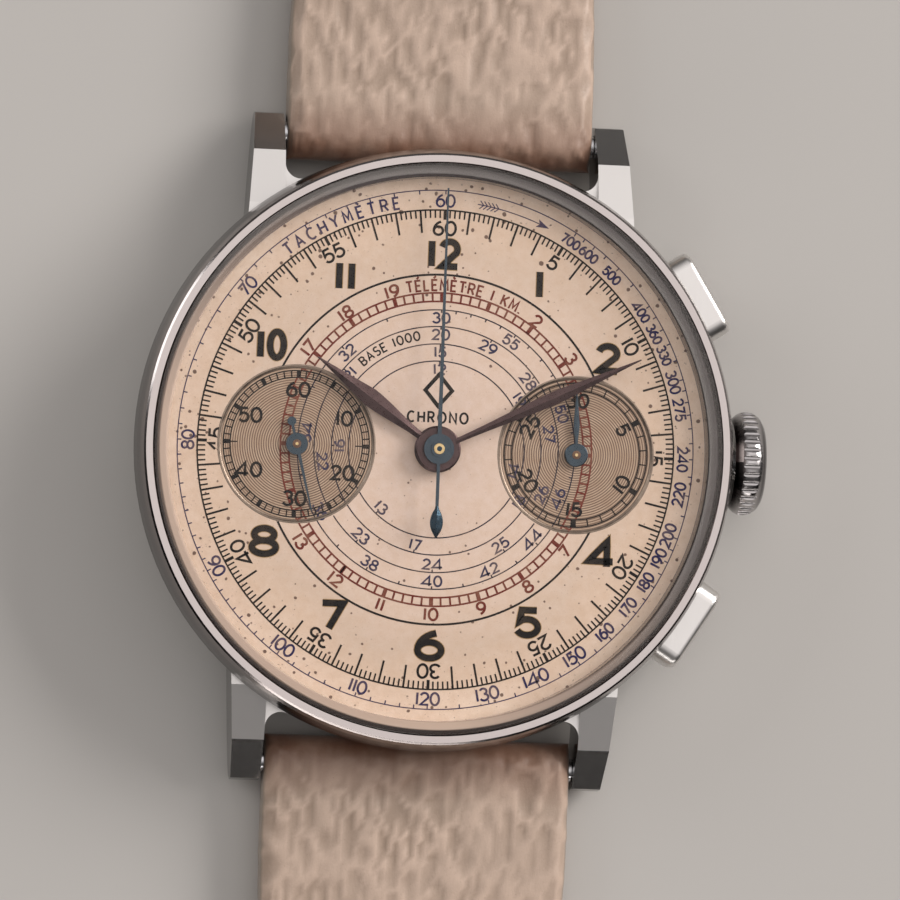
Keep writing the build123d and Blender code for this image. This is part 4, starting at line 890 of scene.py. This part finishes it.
# The chronograph hand's drop-shaped counterweight, from its tip inwards: (distance, half width).
COUNTERWEIGHT = ((-5.6, 0.03), (-5.3, 0.20), (-5.0, 0.34), (-4.75, 0.40), (-4.5, 0.38), (-4.2, 0.30),
                 (-3.9, 0.17), (-3.6, 0.09))
# Where each hand points at rest, in degrees from 12 o'clock.
HOUR_ANGLE = 305.3
MINUTE_ANGLE = 64.2
COUNTER_ANGLE = -1.5
# Name, centre, angle, height, leaf, ridge, hub radii, material, CAD node, body and slot.
HANDS = (
    ("hour_hand", AXIS, HOUR_ANGLE, HOUR_LOW, (1.3, 9.5, 0.24, 0.58, 0.57), 0.10, (1.2, 1.47),
     DARK_HAND, "hour_hand", "hour_hand_group", "dark_hand"),
    ("minute_hand", AXIS, MINUTE_ANGLE, MINUTE_LOW, (1.2, 14.1, 0.17, 0.42, 0.60), 0.08, (0.85, 1.4),
     DARK_HAND, "minute_hand", "minute_hand_group", "dark_hand"),
    ("minute_counter", RIGHT_AXIS, COUNTER_ANGLE, COUNTER_LOW, (0.6, 4.0, 0.08, 0.19, 0.5, 0.03), 0.04,
     (0.19, 0.74), BLUED, "minute_counter_hand", "recorder_group", "blued_steel"),
)


def make_hands():
    for name, centre, angle, low, leaf, ridge, hub, material, node, body, slot in HANDS:
        facets = blade(name + "_facets", centre, angle, low, leaf_stations(*leaf), ridge, material)
        fit(facets, body, slot, node)
        ring = lathe(name + "_hub", hub_profile(*hub, low, low + HAND_THICK), centre, material)
        fit(ring, body, slot)
    weight = blade("chronograph_counterweight", AXIS, 0, CHRONO_LOW + 0.001, COUNTERWEIGHT, 0.10,
                   DEEP_BLUE)
    section = [(0.17, 0), (0.37, 0), (0.37, 0.24), (0.33, 0.29), (0.20, 0.29), (0.17, 0.26)]
    pipe = lathe("chronograph_pipe", [(r, CHRONO_LOW + z) for r, z in section], AXIS, BRASS)
    pin_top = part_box("chronograph_runner")[1].z / MM
    section = [(0.0, 0.002), (0.16, 0.002), (0.16, 0.006), (0.0, 0.006)]
    hole = lathe("chronograph_pipe_hole", [(r, pin_top + z) for r, z in section], AXIS, DEEP_BLUE)
    fit(hole, "runner_group", "blued_steel")
    fit(weight, "runner_group", "blued_steel")
    fit(pipe, "runner_group", "gilt_brass")
    section = [(0.10, 0), (0.27, 0), (0.27, 0.19), (0.10, 0.21)]
    for name, centre, body in (("seconds_pipe", LEFT_AXIS, "fourth_group"),
                               ("counter_pipe", RIGHT_AXIS, "recorder_group")):
        pipe = lathe(name, [(r, COUNTER_LOW + z) for r, z in section], centre, PIPE)
        fit(pipe, body, "gilt_brass")


def make_register_rings():
    """The turned metal edge that frames each sunk register."""
    floor = DIAL_TOP - RECESS
    section = [(4.76, floor - 0.01), (5.0, floor - 0.01), (5.0, DIAL_TOP + 0.002),
               (4.95, DIAL_TOP + 0.016), (4.90, DIAL_TOP + 0.012), (4.83, floor + 0.04),
               (4.77, floor + 0.018)]
    for name, centre in (("seconds_register_ring", LEFT_AXIS), ("minutes_register_ring", RIGHT_AXIS)):
        ring = lathe(name, section, centre, REGISTER_EDGE, segments=144)
        fit(ring, "case", "dial_paint")


make_hands()
make_register_rings()

# ---- leather strap ----
LUG_TUBE = 1.7
BUCKLE_TUBE = 1.25
BUCKLE_END_Y = 88.0
BUCKLE_BAR_Z = 1.7
HOLE_END_Y = 130.0
EDGE_ROUND = 0.95
END_ROUND = 0.9
STRAP_HALF = 9.8
STRAP_NARROWS = 1.8
FREE_TIP = 6.5
GRAIN_DEPTH = 0.20
KEEPER_GRAIN = 0.11
# Each half's lower and upper surface: (distance from the watch's middle, height).
BUCKLE_SIDE = {"low": ((20, 0.2), (40, 0.25), (60, 1.15), (84, 1.15), (88, 0.7)),
               "high": ((20, 3.6), (40, 3.3), (60, 3.4), (84, 3.3), (88, 2.75))}
HOLE_SIDE = {"low": ((20, 0.2), (30, 0.0), (130, 0.0)),
             "high": ((20, 3.6), (40, 2.9), (75, 2.3), (130, 2.1))}


def unit(value):
    """A value held between 0 and 1."""
    return min(1.0, max(0.0, value))


def along(points, distance):
    """The height at a distance along a strap half, read from its profile."""
    for (y0, z0), (y1, z1) in zip(points, points[1:]):
        if distance <= y1:
            return z0 + (z1 - z0) * max(0.0, (distance - y0) / (y1 - y0))
    return points[-1][1]


def strap_half_width(distance, tip):
    """The strap narrows from the lugs to the buckle; tip is the corner radius of a free end."""
    half = STRAP_HALF - STRAP_NARROWS * unit((distance - 26) / 49)
    if tip and distance > HOLE_END_Y - tip:
        into = min(tip, distance - (HOLE_END_Y - tip))
        half += math.sqrt(max(0.0, tip * tip - into * into)) - tip
    return half


def strap_heights(profile, distance, end_tube):
    """(bottom, top) of a strap half, with its round turned-over ends."""
    if distance < BAR_Y:
        rise = math.sqrt(max(0.0, LUG_TUBE ** 2 - (BAR_Y - distance) ** 2))
        return BAR_Z - rise, BAR_Z + rise
    low, high = along(profile["low"], distance), along(profile["high"], distance)
    if end_tube and distance > BUCKLE_END_Y:
        rise = math.sqrt(max(0.0, BUCKLE_TUBE ** 2 - (distance - BUCKLE_END_Y) ** 2))
        return BUCKLE_BAR_Z - rise * 0.8, BUCKLE_BAR_Z + rise * 0.84
    if not end_tube and distance > HOLE_END_Y - END_ROUND:
        into = distance - HOLE_END_Y + END_ROUND
        pull = END_ROUND - math.sqrt(max(0.0, END_ROUND ** 2 - into ** 2))
        return low + pull * 0.9, high - pull * 0.9
    return low, high


def grain_pit(x, y, seed):
    """How deep the pressed grain is at a point: about 0 on a ridge and about 1 in a dimple."""
    sway = noise.noise(Vector((x * 0.16, y * 0.10, seed)))
    spot = Vector((x * 1.15 + sway * 0.8, y * 0.36, seed))
    spot += 0.30 * Vector((noise.noise(Vector((x * 0.8, y * 0.55, seed + 5))),
                           noise.noise(Vector((x * 0.8, y * 0.55, seed + 9))), 0))
    near = noise.voronoi(spot)[0]
    depth = unit((near[1] - near[0] - 0.04) / 0.24)
    patch = 0.75 + 0.6 * noise.noise(Vector((x * 0.25, y * 0.15, seed + 3)))
    fine = noise.noise(Vector((x * 1.9, y * 1.0, seed + 7)))
    return depth * depth * (3 - 2 * depth) * min(1.0, max(0.45, patch)) + 0.22 * fine


def section_loop(half, low, high):
    """A rounded rectangle's points with their outward normals, close together all the way round."""
    arcs = round_box_arcs(half, low, high, min(EDGE_ROUND, 0.49 * (high - low), 0.9 * half), 8)
    loop = []
    for index, pieces in enumerate((8, 56, 8, 56)):
        after = arcs[(index + 1) % 4][0]
        loop += arcs[index]
        loop += [between(arcs[index][-1], after, step / pieces) for step in range(1, pieces)]
    return loop


def keep_pits(piece, pits):
    """Stores the grain's depth at each point, for the leather's colour."""
    piece.data.attributes.new("pit", "FLOAT", "POINT").data.foreach_set("value", pits)


def strap_mesh(name, profile, sign, end_tube, seed):
    """One strap half, towards 12 o'clock or 6 o'clock by its sign, with the grain pressed in."""
    start = BAR_Y - LUG_TUBE
    stop = BUCKLE_END_Y + BUCKLE_TUBE if end_tube else HOLE_END_Y
    tip = 0.0 if end_tube else FREE_TIP
    stations = [start + LUG_TUBE * (1 - math.cos(math.radians(6 * k))) for k in range(15)]
    step = 0.36
    stations += [BAR_Y + step * k for k in range(int((stop - 2.0 - BAR_Y) / step))]
    reach = stop - stations[-1]
    stations += [stations[-1] + reach * math.sin(math.radians(3 * k)) for k in range(1, 31)]
    verts, pits = [], []
    for distance in stations:
        low, high = strap_heights(profile, min(distance, stop - 0.002), end_tube)
        half = strap_half_width(distance, tip)
        loop = section_loop(max(half, 0.2), low, max(high, low + 0.02))
        calm = 1.0 if end_tube else unit((stop - 0.4 - distance) / 1.6)
        for x, z, nx, nz in loop:
            under = nz < -0.5
            pit = grain_pit(x + 3 * under, sign * distance + 40 * under, seed)
            deep = GRAIN_DEPTH * calm * pit * min(1.0, (high - low) / 2.0) * (0.25 + 0.75 * abs(nz))
            crown = 0.16 * (1 - (x / half) ** 2) * max(0.0, nz) if half > 1 else 0.0
            verts.append((x - nx * deep, sign * distance, z - nz * deep + crown))
            pits.append(pit)
    ring = len(verts) // len(stations)
    faces = ring_faces(len(stations), ring)
    faces.append(tuple(reversed(range(ring))))
    faces.append(tuple(range(len(verts) - ring, len(verts))))
    if sign < 0:
        faces = [face[::-1] for face in faces]
    strap = new_object(name, verts, faces, LEATHER, smooth=True)
    keep_pits(strap, pits)
    return strap


def cut_with(target, cutter):
    """Cuts one mesh out of another and keeps the result as plain mesh."""
    cut = target.modifiers.new("cut", "BOOLEAN")
    cut.operation = "DIFFERENCE"
    cut.solver = "EXACT"
    cut.object = cutter
    graph = bpy.context.evaluated_depsgraph_get()
    mesh = bpy.data.meshes.new_from_object(target.evaluated_get(graph))
    target.modifiers.clear()
    target.data = mesh
    bpy.data.objects.remove(cutter)


def rods(spots, radius, low, high, sideways=False):
    """A mesh of round rods standing at each spot, or lying across the strap."""
    verts, faces = [], []
    sides = 28
    for x, y, z in spots:
        base = len(verts)
        for end in (low, high):
            for k in range(sides):
                turn = 2 * math.pi * k / sides
                one, two = radius * math.cos(turn), radius * math.sin(turn)
                verts.append((end, y + one, z + two) if sideways else (x + one, y + two, end))
        ends = [tuple(reversed(range(sides))), tuple(range(sides, 2 * sides))]
        for face in ring_faces(2, sides) + ends:
            faces.append(tuple(base + k for k in face))
    return new_object("cutter", verts, faces, LEATHER)


KEEPER_WALL = 0.9
KEEPER_TOP = 6.65
KEEPER_WIDTH = 5.0
KEEPER_EDGE = 0.4
KEEPER_CORNER = 0.95
FIXED_KEEPER_Y = 80.5
FREE_KEEPER_Y = 70.0


def keeper_path(half, low, high):
    """Points and outward normals round a keeper's middle line, seen along the strap."""
    corners = sum(round_box_arcs(half, low, high, KEEPER_CORNER, 10), [])
    path = []
    for spot, after in zip(corners, corners[1:] + corners[:1]):
        pieces = int(math.dist(spot[:2], after[:2]) / 0.4) + 1
        path += [between(spot, after, step / pieces) for step in range(pieces)]
    return path


def keeper_mesh(name, middle_y, side_gap, under_gap, seed):
    """A leather loop round both strap layers, with rounded edges and pressed grain."""
    inner = strap_half_width(middle_y - KEEPER_WIDTH / 2, 0) + side_gap
    low = along(BUCKLE_SIDE["low"], middle_y) - under_gap - KEEPER_WALL / 2
    flat, thick = KEEPER_WIDTH / 2 - KEEPER_EDGE, KEEPER_WALL / 2
    path = keeper_path(inner + thick, low, KEEPER_TOP - thick)
    profile = [(thick, -flat + flat * step / 6) for step in range(13)]
    for step in range(1, 8):
        turn = math.radians(90 - 180 * step / 8)
        profile.append((thick * math.sin(turn), flat + KEEPER_EDGE * math.cos(turn)))
    profile += [(-across, -y) for across, y in profile]
    verts, pits = [], []
    travelled = 0.0
    for index, (x, z, nx, nz) in enumerate(path):
        travelled += math.dist((x, z), path[index - 1][:2]) if index else 0.0
        for across, y in profile:
            pit = grain_pit(travelled, y + 300, seed)
            out = across - (KEEPER_GRAIN * max(0.0, pit) if across > 0 else 0.0)
            verts.append((x + nx * out, middle_y + y, z + nz * out))
            pits.append(pit)
    faces = ring_faces(len(path), len(profile), closed=True)
    keeper = new_object(name, verts, faces, LEATHER, smooth=True)
    keep_pits(keeper, pits)
    repair = bmesh.new()
    repair.from_mesh(keeper.data)
    bmesh.ops.recalc_face_normals(repair, faces=repair.faces)
    repair.to_mesh(keeper.data)
    repair.free()
    return keeper


BAR_HOLE = 0.8
BUCKLE_BAR_HOLE = 0.65
PUNCHED_HOLE = 0.85
FIRST_HOLE_Y = -84
HOLE_PITCH = 6.5
HOLE_COUNT = 7
CUT_REACH = 11
# Half the opening's width, and where it starts and stops.
TONGUE_SLOT = (1.3, 85.5, 90.5)


def cut_tongue_slot(strap):
    """The opening through which the buckle's tongue comes up."""
    half, start, stop = TONGUE_SLOT
    around = ((-half, start), (half, start), (half, stop), (-half, stop))
    verts = [(x, y, z) for z in (-1, 5) for x, y in around]
    faces = [(3, 2, 1, 0), (4, 5, 6, 7), (0, 1, 5, 4), (1, 2, 6, 5), (2, 3, 7, 6), (3, 0, 4, 7)]
    cut_with(strap, new_object("cutter", verts, faces, LEATHER))


def make_strap():
    buckle_half = strap_mesh("buckle_strap_leather", BUCKLE_SIDE, 1, True, 11.0)
    hole_half = strap_mesh("hole_strap_leather", HOLE_SIDE, -1, False, 37.0)
    for half, y, z, radius in ((buckle_half, BAR_Y, BAR_Z, BAR_HOLE),
                               (buckle_half, BUCKLE_END_Y, BUCKLE_BAR_Z, BUCKLE_BAR_HOLE),
                               (hole_half, -BAR_Y, BAR_Z, BAR_HOLE)):
        cut_with(half, rods([(0, y, z)], radius, -CUT_REACH, CUT_REACH, sideways=True))
    punched = [(0, FIRST_HOLE_Y - HOLE_PITCH * k, 0) for k in range(HOLE_COUNT)]
    cut_with(hole_half, rods(punched, PUNCHED_HOLE, -1, 4))
    cut_tongue_slot(buckle_half)
    fixed = keeper_mesh("fixed_keeper_leather", FIXED_KEEPER_Y, 0.15, 0.06, 53.0)
    free = keeper_mesh("free_keeper_leather", FREE_KEEPER_Y, 0.55, 0.10, 71.0)
    for piece, node, body in ((buckle_half, "strap_buckle_side", "strap_buckle_group"),
                              (hole_half, "strap_hole_side", "strap_hole_group"),
                              (fixed, "fixed_keeper", "strap_buckle_group"),
                              (free, "free_keeper", "free_keeper_group")):
        fit(piece, body, "strap_leather", node)


make_strap()

# ---- materials on the CAD nodes ----
BY_SLOT = {
    "case_steel": CASE_STEEL, "crystal": CRYSTAL, "dial_paint": DIAL, "dark_hand": DARK_HAND,
    "blued_steel": BLUED, "gilt_brass": BRASS, "movement_steel": INNER_STEEL,
    "strap_leather": LEATHER, "buckle_steel": POLISHED,
}


def dress_nodes():
    """Gives each CAD node the procedural material of its slot, and some nodes one of their own."""
    ruby = Nodes("ruby")
    ruby.set(Base_Color=ruby.mix(ruby.noise(3.0), (0.42, 0.02, 0.05), (0.60, 0.05, 0.10)))
    ruby.set(Roughness=0.08)
    chosen = dict(BY_SLOT, ruby=ruby.material)
    for part in frame["record"]["subparts"]:
        node = frame["nodes"][part["node"]]
        node.data.materials.clear()
        node.data.materials.append(chosen[part["material_slot"]])
    frame["nodes"]["bezel"].data.materials[0] = SHADED_BEZEL_STEEL
    frame["nodes"]["crown"].data.materials[0] = CROWN
    for name in ("start_pusher", "reset_pusher"):
        frame["nodes"][name].data.materials[0] = SATIN


dress_nodes()

# ---- camera and light ----
CAMERA_DISTANCE = 0.340
CAMERA_LENS = 216.0
LEAN_LEFT = math.radians(7.0)
LEAN_DOWN = math.radians(2.0)
ROLL = math.radians(2.1)
LIGHT_AIM = (0.0, 0.0, 0.005)
FLOOR_HALF = 2000
# Name, place and size in metres, power in watts, and tint.
LIGHTS = (
    ("key_light", (0.98, 0.50, 0.66), (0.8, 0.6), 14.0, (1.0, 0.96, 0.93)),
    ("side_light", (-0.90, 0.45, 0.45), (0.5, 0.8), 3.0, (1.0, 1.0, 1.0)),
    ("low_light", (-0.15, -1.05, 0.42), (0.9, 0.25), 2.0, (1.0, 0.95, 0.92)),
)


def make_camera():
    """Above the dial, leaning a little to the left and down, as the photograph was taken."""
    data = bpy.data.cameras.new("camera")
    data.lens = CAMERA_LENS
    data.sensor_width = 36.0
    data.clip_start = 0.01
    camera = add_to_scene("camera", data)
    target = Vector((0.85 * MM, 0.0, DIAL_TOP * MM))
    away = Vector((-math.tan(LEAN_LEFT), -math.tan(LEAN_DOWN), 1.0)).normalized()
    up = Vector((-math.sin(ROLL), math.cos(ROLL), 0.0))
    right = up.cross(away).normalized()
    up = away.cross(right)
    turn = Matrix((right, up, away)).transposed()
    camera.matrix_world = Matrix.Translation(target + away * CAMERA_DISTANCE) @ turn.to_4x4()
    bpy.context.scene.camera = camera


def softbox(name, place, size, power, tint):
    """A soft rectangular light that looks at the watch."""
    data = bpy.data.lights.new(name, "AREA")
    data.shape = "RECTANGLE"
    data.size = size[0]
    data.size_y = size[1]
    data.energy = power
    data.color = tint
    lamp = add_to_scene(name, data)
    lamp.location = place
    lamp.rotation_euler = (Vector(LIGHT_AIM) - Vector(place)).to_track_quat("-Z", "Y").to_euler()


def overhead_world():
    """Soft light from overhead that fades towards the horizon. It comes from beyond 12 o'clock
    and from the crown side; the other two sides stay dark."""
    world = bpy.data.worlds.new("studio")
    world.use_nodes = True
    tree = world.node_tree
    place = new_node(tree, "TexCoord").outputs["Generated"]
    way = new_node(tree, "SeparateXYZ", Vector=place).outputs
    band = new_node(tree, "ValToRGB", Fac=way["Z"])
    glows = ((0.0, 0.04), (0.30, 0.10), (0.65, 0.50), (1.0, 1.0))
    fill_band(band.color_ramp, [(height, (glow, 0.955 * glow, 0.94 * glow)) for height, glow in glows])
    both = new_node(tree, "Math")
    both.operation = "MULTIPLY"
    for socket, axis, dark, full, most in ((0, "Y", -0.55, 0.0, 1.15), (1, "X", -0.85, -0.25, 1.05)):
        side = new_node(tree, "MapRange", Value=way[axis], From_Min=dark, From_Max=full, To_Min=0.10,
                        To_Max=most)
        tree.links.new(side.outputs["Result"], both.inputs[socket])
    sky = tree.nodes["Background"]
    tree.links.new(band.outputs["Color"], sky.inputs["Color"])
    tree.links.new(both.outputs[0], sky.inputs["Strength"])
    return world


def make_studio():
    """A wide pale floor under the watch, three soft lights and the overhead glow."""
    n = Nodes("pale_floor")
    n.set(Base_Color=n.mix(n.noise(0.02, 2), srgb(182, 179, 175), srgb(190, 187, 183)))
    n.set(Roughness=0.8)
    corners = [(x * FLOOR_HALF, y * FLOOR_HALF, -0.02) for x, y in ((-1, -1), (1, -1), (1, 1), (-1, 1))]
    floor = new_object("floor", corners, [(0, 1, 2, 3)], n.material)
    bpy.context.scene.world = overhead_world()
    bpy.context.scene.view_settings.view_transform = "Standard"
    for light in LIGHTS:
        softbox(*light)


make_camera()
make_studio()
